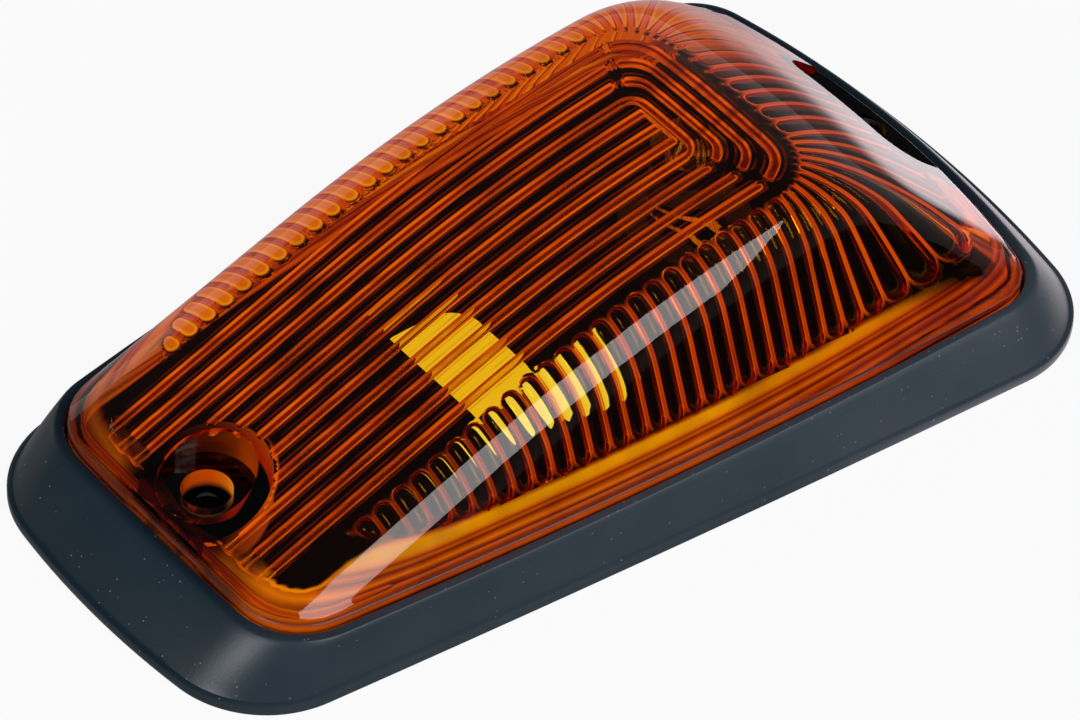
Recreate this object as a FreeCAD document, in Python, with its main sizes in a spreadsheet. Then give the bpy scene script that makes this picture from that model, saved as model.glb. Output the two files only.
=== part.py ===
import FreeCAD, Part
import Sketcher
import math
import os

# Roof marker light: a moulded amber lens screwed down on a rubber pad, with a
# wedge bulb in a twist-in holder. X is across, -Y is the narrow front end,
# Z is up and the pad rests on z = 0. Sizes are in millimetres and degrees.
doc = FreeCAD.newDocument("marker_light")
sheet = doc.addObject("Spreadsheet::Sheet", "Sizes")

SIZES = [
    # rubber pad
    ("pad_front", 66.3), ("pad_rear", 63.7),
    ("pad_front_half", 27.7), ("pad_rear_half", 42.4),
    ("pad_front_bow", 3), ("pad_rear_bow", 5.6), ("pad_side_bow", 0.7),
    ("pad_corner", 15.2), ("lip_tall", 1.6), ("lip_step", 0.7),
    ("seat_level", 6.4), ("collar_tall", 1.8), ("collar_wide", 1.3),
    ("opening_half", 14.6), ("opening_front", 14.7), ("opening_rear", 0.6), ("opening_corner", 5),
    # outline of the lens where it meets the pad
    ("lens_front", 58.6), ("lens_rear", 57),
    ("lens_front_half", 24.1), ("lens_rear_half", 34.5),
    ("lens_front_bow", 0.5), ("lens_rear_bow", 5), ("lens_side_bow", 1.9),
    ("lens_front_corner", 9.3), ("lens_rear_corner", 7.5),
    ("rim_tall", 3), ("rim_wide", 2.2), ("seat_clearance", 0.3),
    # skin of the lens
    ("lens_top", 33.6), ("deck_half", 16.2),
    ("shoulder_radius", 10), ("wall_draft", 23.5),
    ("front_slope", 19), ("deck_bend", 174), ("deck_level_from", 34.6),
    ("rear_slope", 42), ("rear_round", 4), ("wall", 2), ("rear_wall", 3),
    # how far cutting shapes run past the form that they cut
    ("reach_past", 10),
    # screw places
    ("screw_hole", 3.3), ("front_screw", 51.6), ("rear_screw", 57.4),
    ("boss_radius", 8.4), ("counterbore", 6.3), ("counterbore_floor", 11.2),
    ("pocket_half", 12.4), ("pocket_front", 52.6), ("pocket_floor", 9.6), ("pocket_corner", 5),
    # ribs under the deck and flutes inside the walls
    ("rib_deep", 0.8), ("rib_wide", 1.2), ("rib_pitch", 3.09), ("rib_front", 56), ("rib_rear", 29),
    ("bow_step", 2.4), ("bow_corner", 5), ("flute_wide", 1), ("flute_pitch", 2.85), ("flute_front", 49),
    ("flute_floor", 13.4), ("field_rear", 31.6), ("field_corner", 7), ("fan_step", 10), ("fan_clear", 17),
    # bulb and its holder
    ("holder_y", 26), ("holder_radius", 8.6), ("holder_top", 12.4), ("holder_clearance", 0.2),
    ("flange_radius", 11.4), ("flange_low", 0.6), ("flange_tall", 2),
    ("slot_wide", 10), ("slot_thick", 4.2), ("slot_floor", 4.4),
    ("bulb_radius", 5), ("bulb_tall", 15), ("tip_tall", 3), ("tip_radius", 2.4),
    ("wedge_wide", 9.4), ("wedge_thick", 2.4), ("wedge_sink", 2),
    ("contact_wide", 3), ("contact_apart", 5.2), ("contact_tall", 6),
]
for row, (name, value) in enumerate(SIZES, 1):
    sheet.set("A%d" % row, name)
    sheet.set("B%d" % row, str(value))
    sheet.setAlias("B%d" % row, name)
doc.recompute()
TINY = 0.01
NAMES = sorted((name for name, _ in SIZES), key=len, reverse=True)
V = FreeCAD.Vector


def val(name):
    """Value of a named size."""
    return float(sheet.get(name))


def num(text):
    """Number that an expression in $names$ comes to, for a first drawing."""
    return float(sheet.evalExpression(ref(text)))


def ref(text):
    """Expression text with each $name$ pointed at the sheet."""
    for name in NAMES:
        text = text.replace("$" + name + "$", "Sizes." + name)
    return text


def plane_of(body, role):
    """Origin plane of a body, found by its role."""
    return [o for o in body.Origin.OriginFeatures if o.Role == role][0]


def new_sketch(body, name, role="XY_Plane", level=None):
    """Sketch on an origin plane of the body, moved along the plane's normal."""
    sketch = body.newObject("Sketcher::SketchObject", name)
    sketch.AttachmentSupport = (plane_of(body, role), [""])
    sketch.MapMode = "FlatFace"
    if level is not None:
        sketch.setExpression("AttachmentOffset.Base.z", ref(level))
    return sketch


def bind(sketch, kind, *rest):
    """Dimension of a sketch whose value follows an expression."""
    places, text = rest[:-1], rest[-1]
    index = sketch.addConstraint(Sketcher.Constraint(kind, *places, num(text)))
    sketch.setExpression("Constraints[%d]" % index, ref(text))


def meet(hub_a, reach_a, hub_b, reach_b, near):
    """Point at given reaches from two hubs, the one of the two nearer to a point."""
    span = hub_b - hub_a
    along = (span.Length ** 2 + reach_a ** 2 - reach_b ** 2) / (2 * span.Length)
    off = math.sqrt(reach_a ** 2 - along ** 2)
    unit = V(span).normalize()
    side = V(-unit.y, unit.x, 0)
    found = [hub_a + unit * along + side * off, hub_a + unit * along - side * off]
    return min(found, key=lambda p: p.distanceToPoint(near))


def outline(body, name, who, grow, level, front_corner, rear_corner):
    """Rounded trapezoid: four bowed sides joined by tangent corner arcs.

    A side with chord c and bow b lies on a circle of radius (c^2/4 + b^2) / 2b.
    """
    sketch = new_sketch(body, name, "XY_Plane", level)
    front = "($%s_front$ + %s)" % (who, grow)
    rear = "($%s_rear$ + %s)" % (who, grow)
    half_f = "($%s_front_half$ + %s)" % (who, grow)
    half_r = "($%s_rear_half$ + %s)" % (who, grow)
    bow_f, bow_s, bow_r = ["$%s_%s_bow$" % (who, side) for side in ("front", "side", "rear")]
    run = "sqrt((%s - %s)^2 + (%s + %s)^2)" % (half_r, half_f, front, rear)
    rad_f = "((%s^2 + %s^2) / (2 * %s))" % (half_f, bow_f, bow_f)
    rad_s = "((%s^2 / 4 + %s^2) / (2 * %s))" % (run, bow_s, bow_s)
    rad_r = "((%s^2 + %s^2) / (2 * %s))" % (half_r, bow_r, bow_r)
    hub_f = "%s - %s - %s" % (rad_f, front, bow_f)
    hub_r = "%s + %s - %s" % (rear, bow_r, rad_r)
    hub_sx = "(%s + %s) / 2 - (%s - %s) * (%s + %s) / %s" % (half_f, half_r, rad_s, bow_s, front, rear, run)
    hub_sy = "(%s - %s) / 2 + (%s - %s) * (%s - %s) / %s" % (rear, front, rad_s, bow_s, half_r, half_f, run)
    side = V(num(hub_sx), num(hub_sy), 0)
    hubs = [V(0, num(hub_f), 0), side, V(0, num(hub_r), 0), V(-side.x, side.y, 0)]
    radii = [num(rad_f), num(rad_s), num(rad_r), num(rad_s)]
    tips = [V(num(half_f), -num(front), 0), V(num(half_r), num(rear), 0)]
    tips += [V(-tips[1].x, tips[1].y, 0), V(-tips[0].x, tips[0].y, 0)]
    turns = [num(front_corner), num(rear_corner), num(rear_corner), num(front_corner)]
    centres = []
    for i in range(4):
        k = (i + 1) % 4
        centres.append(meet(hubs[i], radii[i] - turns[i], hubs[k], radii[k] - turns[i], tips[i]))

    def arc(hub, radius, first, last):
        a, b = [math.atan2(v.y, v.x) for v in (first, last)]
        return Part.ArcOfCircle(Part.Circle(hub, V(0, 0, 1), radius), a, b if b > a else b + 2 * math.pi)

    for i in range(4):
        before, after = centres[i - 1] - hubs[i], centres[i] - hubs[i]
        sketch.addGeometry(arc(hubs[i], radii[i], before, after), False)
        ahead = centres[i] - hubs[(i + 1) % 4]
        sketch.addGeometry(arc(centres[i], turns[i], after, ahead), False)
    for i in range(8):
        sketch.addConstraint(Sketcher.Constraint("Tangent", i, 2, (i + 1) % 8, 1))
    for i in (0, 4):
        sketch.addConstraint(Sketcher.Constraint("PointOnObject", i, 3, -2))
    for i, k in ((2, 6), (1, 7), (3, 5)):
        sketch.addConstraint(Sketcher.Constraint("Equal", i, k))
    sketch.addConstraint(Sketcher.Constraint("Symmetric", 2, 3, 6, 3, -2))
    for i, text in ((0, rad_f), (2, rad_s), (4, rad_r), (1, front_corner), (3, rear_corner)):
        bind(sketch, "Radius", i, text)
    bind(sketch, "DistanceY", -1, 1, 0, 3, hub_f)
    bind(sketch, "DistanceY", -1, 1, 4, 3, hub_r)
    bind(sketch, "DistanceX", -1, 1, 2, 3, hub_sx)
    bind(sketch, "DistanceY", -1, 1, 2, 3, hub_sy)
    return sketch


def round_edges(body, name, base, edges, radius):
    """Fillet whose radius follows an expression."""
    fillet = body.newObject("PartDesign::Fillet", name)
    fillet.Base = (base, edges)
    fillet.setExpression("Radius", ref(radius))
    doc.recompute()
    return fillet


def block(name, who, grow, level, tall, front_corner, rear_corner):
    """Upright block on a rounded outline."""
    body = doc.addObject("PartDesign::Body", name)
    sketch = outline(body, name + "_outline", who, grow, level, front_corner, rear_corner)
    pad = body.newObject("PartDesign::Pad", name + "_pad")
    pad.Profile = sketch
    pad.setExpression("Length", ref(tall))
    doc.recompute()
    return body


def skin(name, inset, rear_inset, rounded):
    """Solid under the lens skin, or under the skin moved inward by the insets.

    One section (flat deck, round shoulders, drafted walls) runs level at the
    rear, turns through the bend and runs on down the straight front slope. A cone
    cuts the bowed rear slope, and on the outside its edges are rounded.
    """
    body = doc.addObject("PartDesign::Body", name)
    t = num(inset)
    top = val("lens_top")
    # section where the level deck begins to bend, with the bend's axis below it
    section = new_sketch(body, name + "_section", "XZ_Plane", "0 - $deck_level_from$")
    half = val("deck_half")
    draft = math.radians(val("wall_draft"))
    rs = val("shoulder_radius")
    right, left = V(half, top - rs, 0), V(-half, top - rs, 0)
    p2 = right + V(math.cos(draft), math.sin(draft), 0) * (rs - t)
    p3 = V(p2.x + p2.y * math.tan(draft), 0, 0)
    quarter = math.pi / 2
    right_ring = Part.Circle(right, V(0, 0, 1), rs - t)
    left_ring = Part.Circle(left, V(0, 0, 1), rs - t)
    section.addGeometry(Part.LineSegment(V(half, top - t, 0), V(-half, top - t, 0)), False)
    section.addGeometry(Part.ArcOfCircle(right_ring, draft, quarter), False)
    section.addGeometry(Part.LineSegment(p3, p2), False)
    section.addGeometry(Part.ArcOfCircle(left_ring, quarter, math.pi - draft), False)
    section.addGeometry(Part.LineSegment(V(-p2.x, p2.y, 0), V(-p3.x, 0, 0)), False)
    section.addGeometry(Part.LineSegment(V(-p3.x, 0, 0), p3), False)
    for a, ae, b, be in ((1, 2, 0, 1), (2, 2, 1, 1), (0, 2, 3, 1), (3, 2, 4, 1)):
        section.addConstraint(Sketcher.Constraint("Tangent", a, ae, b, be))
    section.addConstraint(Sketcher.Constraint("Coincident", 4, 2, 5, 1))
    section.addConstraint(Sketcher.Constraint("Coincident", 5, 2, 2, 1))
    section.addConstraint(Sketcher.Constraint("PointOnObject", 5, 1, -1))
    section.addConstraint(Sketcher.Constraint("PointOnObject", 5, 2, -1))
    section.addConstraint(Sketcher.Constraint("Equal", 1, 3))
    section.addConstraint(Sketcher.Constraint("Symmetric", 0, 1, 0, 2, -2))
    bind(section, "DistanceY", -1, 1, 0, 1, "$lens_top$ - %s" % inset)
    bind(section, "DistanceX", -1, 1, 0, 1, "$deck_half$")
    bind(section, "Radius", 1, "$shoulder_radius$ - %s" % inset)
    flat = "($shoulder_radius$ - %s) * cos($wall_draft$ * 1 deg)" % inset
    bind(section, "DistanceX", 1, 3, 1, 1, flat)
    low = top - val("deck_bend")
    section.addGeometry(Part.LineSegment(V(0, low, 0), V(half, low, 0)), True)
    section.addConstraint(Sketcher.Constraint("Horizontal", 6))
    section.addConstraint(Sketcher.Constraint("PointOnObject", 6, 1, -2))
    bind(section, "DistanceY", 6, 1, -1, 1, "$deck_bend$ - $lens_top$")
    doc.recompute()
    level_run = body.newObject("PartDesign::Pad", name + "_level")
    level_run.Profile = section
    level_run.Reversed = True
    level_length = "$lens_rear$ + $lens_rear_bow$ + 2 * $reach_past$ - $deck_level_from$"
    level_run.setExpression("Length", ref(level_length))
    doc.recompute()
    bend = body.newObject("PartDesign::Revolution", name + "_bend")
    bend.Profile = section
    bend.ReferenceAxis = (section, ["Axis0"])
    bend.setExpression("Angle", ref("$front_slope$ * 1 deg"))
    doc.recompute()
    if bend.Shape.Solids[0].CenterOfMass.y > level_run.Shape.Solids[0].CenterOfMass.y - TINY:
        bend.Reversed = True
        doc.recompute()
    # the bend's front face runs on as the straight front slope
    faces = bend.Shape.Faces
    ahead = min(range(len(faces)), key=lambda i: faces[i].CenterOfMass.y)
    slope_run = body.newObject("PartDesign::Pad", name + "_slope")
    slope_run.Profile = (bend, ["Face%d" % (ahead + 1)])
    slope_run.setExpression("Length", ref("$lens_front$ + $reach_past$"))
    doc.recompute()
    # bowed rear slope, turned about the middle of the rear bow
    cut = new_sketch(body, name + "_rear_line", "YZ_Plane")
    reach = "($lens_rear$ + $lens_rear_bow$)"
    round_back = "(($lens_rear_half$^2 + $lens_rear_bow$^2) / (2 * $lens_rear_bow$))"
    foot = "(%s - %s / sin($rear_slope$ * 1 deg))" % (reach, rear_inset)
    level = "($seat_level$ + $rim_tall$)"
    slope = "tan($rear_slope$ * 1 deg)"
    low_y = "%s + (%s + $reach_past$) / %s" % (foot, level, slope)
    high_y = "%s - ($lens_top$ + $reach_past$ - %s) / %s" % (foot, level, slope)
    far = "%s + $reach_past$" % low_y
    floor, roof = -val("reach_past"), val("lens_top") + val("reach_past")
    ring = [V(num(low_y), floor, 0), V(num(far), floor, 0), V(num(far), roof, 0), V(num(high_y), roof, 0)]
    for i in range(4):
        cut.addGeometry(Part.LineSegment(ring[i], ring[(i + 1) % 4]), False)
    for i in range(4):
        cut.addConstraint(Sketcher.Constraint("Coincident", i, 2, (i + 1) % 4, 1))
    cut.addConstraint(Sketcher.Constraint("Horizontal", 0))
    cut.addConstraint(Sketcher.Constraint("Vertical", 1))
    cut.addConstraint(Sketcher.Constraint("Horizontal", 2))
    bind(cut, "DistanceX", -1, 1, 1, 1, far)
    bind(cut, "DistanceY", 0, 1, -1, 1, "$reach_past$")
    bind(cut, "DistanceY", -1, 1, 2, 1, "$lens_top$ + $reach_past$")
    bind(cut, "DistanceX", -1, 1, 0, 1, low_y)
    bind(cut, "DistanceX", -1, 1, 3, 1, high_y)
    axis_y = num("%s - %s" % (reach, round_back))
    cut.addGeometry(Part.LineSegment(V(axis_y, 0, 0), V(axis_y, top, 0)), True)
    cut.addConstraint(Sketcher.Constraint("Vertical", 4))
    bind(cut, "DistanceX", 4, 1, -1, 1, "%s - %s" % (round_back, reach))
    doc.recompute()
    groove = body.newObject("PartDesign::Groove", name + "_rear")
    groove.Profile = cut
    groove.ReferenceAxis = (cut, ["Axis0"])
    groove.Angle = 360
    doc.recompute()
    if not rounded:
        return body
    cone = [f for f in groove.Shape.Faces if "Cone" in f.Surface.TypeId]
    edges = []
    for i, edge in enumerate(groove.Shape.Edges, 1):
        mid = edge.valueAt((edge.FirstParameter + edge.LastParameter) / 2)
        if mid.z > TINY and cone[0].distToShape(Part.Vertex(mid))[0] < TINY:
            edges.append("Edge%d" % i)
    round_edges(body, name + "_round", groove, edges, "$rear_round$")
    return body


def cylinder(name, radius, tall, at_y, at_z):
    """Upright round bar, sized and placed by expressions."""
    bar = doc.addObject("Part::Cylinder", name)
    bar.setExpression("Radius", ref(radius))
    bar.setExpression("Height", ref(tall))
    bar.setExpression("Placement.Base.y", ref(at_y))
    bar.setExpression("Placement.Base.z", ref(at_z))
    return bar


def box(name, half, front, long, level, tall):
    """Block with its middle on x = 0, sized and placed by expressions."""
    bar = doc.addObject("Part::Box", name)
    bar.setExpression("Width", ref(long))
    bar.setExpression("Length", ref("2 * (%s)" % half))
    bar.setExpression("Height", ref(tall))
    bar.setExpression("Placement.Base.x", ref("-(%s)" % half))
    bar.setExpression("Placement.Base.y", ref(front))
    bar.setExpression("Placement.Base.z", ref(level))
    doc.recompute()
    return bar


def soften(name, base, pick, radius):
    """Rounded copy of a block: the upright edges that pick chooses."""
    soft = doc.addObject("Part::Fillet", name)
    soft.Base = base
    chosen = []
    for i, edge in enumerate(base.Shape.Edges, 1):
        if edge.BoundBox.ZLength > TINY and pick(edge.Vertexes[0].Point):
            chosen.append((i, num(radius), num(radius)))
    soft.Edges = chosen
    doc.recompute()
    return soft


def many(kind, name, shapes):
    """Fuse or common of several objects."""
    out = doc.addObject(kind, name)
    out.Shapes = shapes
    return out


def cut(name, base, tool):
    """One object with another taken away."""
    out = doc.addObject("Part::Cut", name)
    out.Base = base
    out.Tool = tool
    return out


# Lens: outer form, hollow, screw boss at the front and screw pocket at the rear
TALL = "($lens_top$ + $reach_past$)"
outer_skin = skin("lens_skin", "0", "0", True)
inner_skin = skin("hollow_skin", "$wall$", "$rear_wall$", False)
corners = ["$lens_front_corner$", "$lens_rear_corner$"]
inner_corners = [turn + " - $rim_wide$" for turn in corners]
outer_block = block("lens_block", "lens", "0", "$seat_level$", TALL, *corners)
inner_block = block("hollow_block", "lens", "(0 - $rim_wide$)", "0", TALL, *inner_corners)
rim = block("lens_rim", "lens", "0", "$seat_level$", "$rim_tall$", *corners)
dome = many("Part::MultiCommon", "lens_dome", [outer_skin, outer_block])
outside = many("Part::MultiFuse", "lens_outside", [dome, rim])
hollow = many("Part::MultiCommon", "lens_hollow", [inner_skin, inner_block])
boss = cylinder("screw_boss", "$boss_radius$", TALL, "0 - $front_screw$", "0")
pocket_long = "$lens_rear$ + $lens_rear_bow$ + $reach_past$ - $pocket_front$"
pocket_box = box("pocket_box", "$pocket_half$", "$pocket_front$", pocket_long, "$pocket_floor$", TALL)
wall_box = box("pocket_wall_box", "$pocket_half$ + $wall$", "$pocket_front$ - $wall$",
               pocket_long + " + $wall$", "0", TALL)


def at_pocket_front(point):
    """True for the two upright edges nearest to the middle of the lens."""
    return point.y < val("pocket_front") + TINY


pocket = soften("pocket", pocket_box, at_pocket_front, "$pocket_corner$")
pocket_wall = soften("pocket_wall", wall_box, at_pocket_front, "$pocket_corner$ + $wall$")
kept = many("Part::MultiFuse", "kept_inside", [boss, pocket_wall])
open_hollow = cut("open_hollow", hollow, kept)


def bars(name, low, high, level, axis, count, length):
    """Row of upright bars: one bar's plan from its low to its high corner, then the rest along an axis."""
    body = doc.addObject("PartDesign::Body", name)
    sketch = new_sketch(body, name + "_plan", "XY_Plane", level)
    x0, y0, x1, y1 = [num(text) for text in low + high]
    ring = [V(x0, y0, 0), V(x1, y0, 0), V(x1, y1, 0), V(x0, y1, 0)]
    for i in range(4):
        sketch.addGeometry(Part.LineSegment(ring[i], ring[(i + 1) % 4]), False)
    for i in range(4):
        sketch.addConstraint(Sketcher.Constraint("Coincident", i, 2, (i + 1) % 4, 1))
        sketch.addConstraint(Sketcher.Constraint("Vertical" if i % 2 else "Horizontal", i))
    bind(sketch, "DistanceX", -1, 1, 0, 1, low[0])
    bind(sketch, "DistanceY", -1, 1, 0, 1, low[1])
    bind(sketch, "DistanceX", -1, 1, 1, 2, high[0])
    bind(sketch, "DistanceY", -1, 1, 1, 2, high[1])
    pad = body.newObject("PartDesign::Pad", name + "_pad")
    pad.Profile = sketch
    pad.setExpression("Length", ref(TALL))
    doc.recompute()
    kind = "PartDesign::PolarPattern" if axis == "N_Axis" else "PartDesign::LinearPattern"
    row = body.newObject(kind, name + "_row")
    row.Originals = [pad]
    if axis == "N_Axis":
        row.Axis = (sketch, [axis])
        row.setExpression("Angle", ref(length))
    else:
        row.Direction = (sketch, [axis])
        row.setExpression("Length", ref(length))
    row.Occurrences = count
    body.Tip = row
    doc.recompute()
    return body


# Side flutes stop where the shoulder begins; the fan turns them round each rear corner
FIELD = "($deck_half$ - $field_corner$)"
side_count = int((val("field_rear") - val("field_corner") + val("flute_front")) / val("flute_pitch"))
side_bars = bars("side_bars", ["0 - $lens_rear_half$", "0 - $flute_front$"],
                 ["$lens_rear_half$", "$flute_wide$ - $flute_front$"], "$flute_floor$", "V_Axis", side_count,
                 "%d * $flute_pitch$" % (side_count - 1))
field = box("field", "$deck_half$ + $shoulder_radius$ - $wall$", "0 - $lens_front$",
            "$lens_front$ + $lens_rear$", "0", "2 * " + TALL)
side_flutes = cut("side_flutes", side_bars, field)
rear_count = 2 * int((val("deck_half") - val("field_corner")) / val("flute_pitch")) + 1
half_row = "%d * $flute_pitch$" % (rear_count // 2)
rear_flutes = bars("rear_flutes", ["0 - %s - $flute_wide$ / 2" % half_row, "$field_rear$"],
                   ["$flute_wide$ / 2 - %s" % half_row, "$lens_rear$ + $lens_rear_bow$"], "$flute_floor$",
                   "H_Axis", rear_count, "%d * $flute_pitch$" % (rear_count - 1))
QUARTER_TURN = 90
fan_count = int(QUARTER_TURN / val("fan_step")) - 1
right_fan = bars("right_fan", ["$fan_clear$", "0 - $flute_wide$ / 2"],
                 ["$lens_rear_half$ + $reach_past$", "$flute_wide$ / 2"], "$flute_floor$", "N_Axis",
                 fan_count, "%d * $fan_step$ * 1 deg" % (fan_count - 1))
fan_plan = doc.getObject("right_fan_plan")
fan_plan.setExpression("AttachmentOffset.Base.x", ref(FIELD))
fan_plan.setExpression("AttachmentOffset.Base.y", ref("$field_rear$ - $field_corner$"))
fan_plan.setExpression("AttachmentOffset.Rotation.Angle", ref("$fan_step$ * 1 deg"))
doc.recompute()
left_fan = doc.addObject("Part::Mirroring", "left_fan")
left_fan.Source = right_fan
left_fan.Normal = V(1, 0, 0)

# Deck ribs: straight ones in the middle and three nested bows that turn across the rear
RIBS, BOWS = 11, 3
straight = RIBS - 2 * BOWS
outermost = RIBS // 2
first = "(0 - %d * $rib_pitch$)" % (straight // 2)
straight_ribs = bars("straight_ribs", [first + " - $rib_wide$ / 2", "0 - $rib_front$"],
                     [first + " + $rib_wide$ / 2", "$rib_rear$ - %d * $bow_step$" % BOWS], "$seat_level$",
                     "H_Axis", straight, "%d * $rib_pitch$" % (straight - 1))
rows = [side_flutes, rear_flutes, right_fan, left_fan, straight_ribs]
for bow in range(BOWS):
    blocks = []
    for edge, grow in (("out", "+ $rib_wide$ / 2"), ("in", "- $rib_wide$ / 2")):
        half = "%d * $rib_pitch$ %s" % (outermost - bow, grow)
        long = "$rib_front$ + $rib_rear$ - %d * $bow_step$ %s" % (bow, grow)
        raw = box("bow_%s_%d_box" % (edge, bow), half, "0 - $rib_front$", long, "$seat_level$", TALL)
        blocks.append(soften("bow_%s_%d" % (edge, bow), raw, lambda p: p.y > 0, "$bow_corner$ %s" % grow))
    rows.append(cut("bow_%d" % bow, blocks[0], blocks[1]))
doc.recompute()
deep_skin = skin("deep_skin", "($wall$ + $rib_deep$)", "($rear_wall$ + $rib_deep$)", False)
texture = doc.addObject("Part::Compound", "texture_bars")
texture.Links = rows
in_hollow = many("Part::MultiCommon", "texture_in_hollow", [open_hollow, texture])
ridges = cut("ridges", in_hollow, deep_skin)
relief = cut("lens_relief", open_hollow, ridges)
shell = cut("lens_shell", outside, relief)
bore_f = cylinder("front_bore", "$screw_hole$", TALL, "0 - $front_screw$", "0")
bore_r = cylinder("rear_bore", "$screw_hole$", TALL, "$rear_screw$", "0")
sink = cylinder("front_sink", "$counterbore$", TALL, "0 - $front_screw$", "$counterbore_floor$")
openings = many("Part::MultiFuse", "lens_openings", [bore_f, bore_r, sink, pocket])
lens = cut("lens_solid", shell, openings)
lens.Label = "lens"
doc.recompute()

# Rubber pad: lip, sloping skirt, collar round the lens, screw holes and openings
lip = block("pad_lip", "pad", "0", "0", "$lip_tall$", "$pad_corner$", "$pad_corner$")
skirt = doc.addObject("PartDesign::Body", "pad_skirt")
low_line = outline(skirt, "skirt_low", "pad", "(0 - $lip_step$)", "$lip_tall$",
                   "$pad_corner$ - $lip_step$", "$pad_corner$ - $lip_step$")
high_line = outline(skirt, "skirt_high", "lens", "($seat_clearance$ + $collar_wide$)",
                    "$seat_level$ + $collar_tall$", "$lens_front_corner$ + $seat_clearance$ + $collar_wide$",
                    "$lens_rear_corner$ + $seat_clearance$ + $collar_wide$")
loft = skirt.newObject("PartDesign::AdditiveLoft", "skirt_loft")
loft.Profile = low_line
loft.Sections = [(high_line, [""])]
loft.Ruled = True
doc.recompute()
mass = many("Part::MultiFuse", "pad_mass", [lip, skirt])
THROUGH = "($seat_level$ + 2 * $reach_past$)"
seat = block("pad_seat", "lens", "$seat_clearance$", "$seat_level$", "$collar_tall$ + $reach_past$",
             "$lens_front_corner$ + $seat_clearance$", "$lens_rear_corner$ + $seat_clearance$")
window_box = box("window_box", "$opening_half$", "0 - $opening_front$", "$opening_front$ + $opening_rear$",
                 "0 - $reach_past$", THROUGH)
window = soften("window", window_box, lambda p: True, "$opening_corner$")
hole_f = cylinder("pad_hole_front", "$screw_hole$", THROUGH, "0 - $front_screw$", "0 - $reach_past$")
hole_r = cylinder("pad_hole_rear", "$screw_hole$", THROUGH, "$rear_screw$", "0 - $reach_past$")
holder_hole = cylinder("holder_hole", "$holder_radius$ + $holder_clearance$", THROUGH, "$holder_y$",
                       "0 - $reach_past$")
flange_room = cylinder("flange_room", "$flange_radius$ + $holder_clearance$",
                       "$flange_low$ + $flange_tall$ + $reach_past$", "$holder_y$", "0 - $reach_past$")
pad_cuts = many("Part::MultiFuse", "pad_cuts", [seat, window, hole_f, hole_r, holder_hole, flange_room])
pad = cut("pad_solid", mass, pad_cuts)
pad.Label = "base_pad"
doc.recompute()

# Bulb holder: turned body with a flange below and a slot for the wedge bulb
holder_tall = "$holder_top$ - $flange_low$"
body_bar = cylinder("holder_bar", "$holder_radius$", holder_tall, "$holder_y$", "$flange_low$")
flange_bar = cylinder("holder_flange", "$flange_radius$", "$flange_tall$", "$holder_y$", "$flange_low$")
holder_mass = many("Part::MultiFuse", "holder_mass", [body_bar, flange_bar])
slot = box("bulb_slot", "$slot_wide$ / 2", "$holder_y$ - $slot_thick$ / 2", "$slot_thick$", "$slot_floor$",
           "$holder_top$")
holder = cut("holder_solid", holder_mass, slot)
holder.Label = "bulb_holder"

# Contact strips: two each side of the wedge, from the slot floor
strip_thick = "(($slot_thick$ - $wedge_thick$) / 2)"
strips = []
for side in (-1, 1):
    for face in (-1, 1):
        strip = doc.addObject("Part::Box", "strip_%d_%d" % (side + 1, face + 1))
        strip.setExpression("Length", ref("$contact_wide$"))
        strip.setExpression("Width", ref(strip_thick))
        strip.setExpression("Height", ref("$contact_tall$"))
        strip.setExpression("Placement.Base.x", ref("%d * $contact_apart$ / 2 - $contact_wide$ / 2" % side))
        y = "$holder_y$ + $wedge_thick$ / 2" if face > 0 else "$holder_y$ - $slot_thick$ / 2"
        strip.setExpression("Placement.Base.y", ref(y))
        strip.setExpression("Placement.Base.z", ref("$slot_floor$"))
        strips.append(strip)
contacts = doc.addObject("Part::Compound", "contact_group")
contacts.Links = strips
contacts.Label = "contact_strips"

# Wedge bulb: flat foot in the slot and a round-topped glass above the holder
foot = box("bulb_foot", "$wedge_wide$ / 2", "$holder_y$ - $wedge_thick$ / 2", "$wedge_thick$", "$slot_floor$",
           "$holder_top$ - $slot_floor$ + $wedge_sink$")
glass_body = doc.addObject("PartDesign::Body", "bulb_glass")
glass_line = new_sketch(glass_body, "glass_line", "YZ_Plane")
steps = [("0", "0"), ("$bulb_radius$", "0"), ("$bulb_radius$", "$bulb_tall$ - $tip_tall$"),
         ("$tip_radius$", "$bulb_tall$"), ("0", "$bulb_tall$")]
ring = [V(val("holder_y") + num(out), val("holder_top") + num(up), 0) for out, up in steps]
for i in range(len(ring)):
    glass_line.addGeometry(Part.LineSegment(ring[i], ring[(i + 1) % len(ring)]), False)
for i in range(len(ring)):
    glass_line.addConstraint(Sketcher.Constraint("Coincident", i, 2, (i + 1) % len(ring), 1))
for i, (out, up) in enumerate(steps):
    bind(glass_line, "DistanceX", -1, 1, i, 1, "$holder_y$ + %s" % out)
    bind(glass_line, "DistanceY", -1, 1, i, 1, "$holder_top$ + %s" % up)
doc.recompute()
turn = glass_body.newObject("PartDesign::Revolution", "glass_turn")
turn.Profile = glass_line
turn.ReferenceAxis = (glass_line, ["Edge5"])
turn.Angle = 360
doc.recompute()
bulb = many("Part::MultiFuse", "bulb_solid", [foot, glass_body])
bulb.Label = "bulb"
doc.recompute()

# Check every object, then write each sub-part to its own file
for item in doc.Objects:
    if "Invalid" in item.State or "Error" in item.State:
        raise SystemExit("not built: " + item.Name)
os.makedirs("parts", exist_ok=True)
for item in (lens, pad, holder, contacts, bulb):
    shape = item.Shape
    if shape.isNull() or not shape.isValid():
        raise SystemExit("bad shape: " + item.Label)
    shape.exportStep("parts/%s.step" % item.Label)
    volume = round(shape.Volume, 1)
    print(item.Label, len(shape.Solids), "solids", len(shape.Faces), "faces", volume, "cubic mm")
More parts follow.
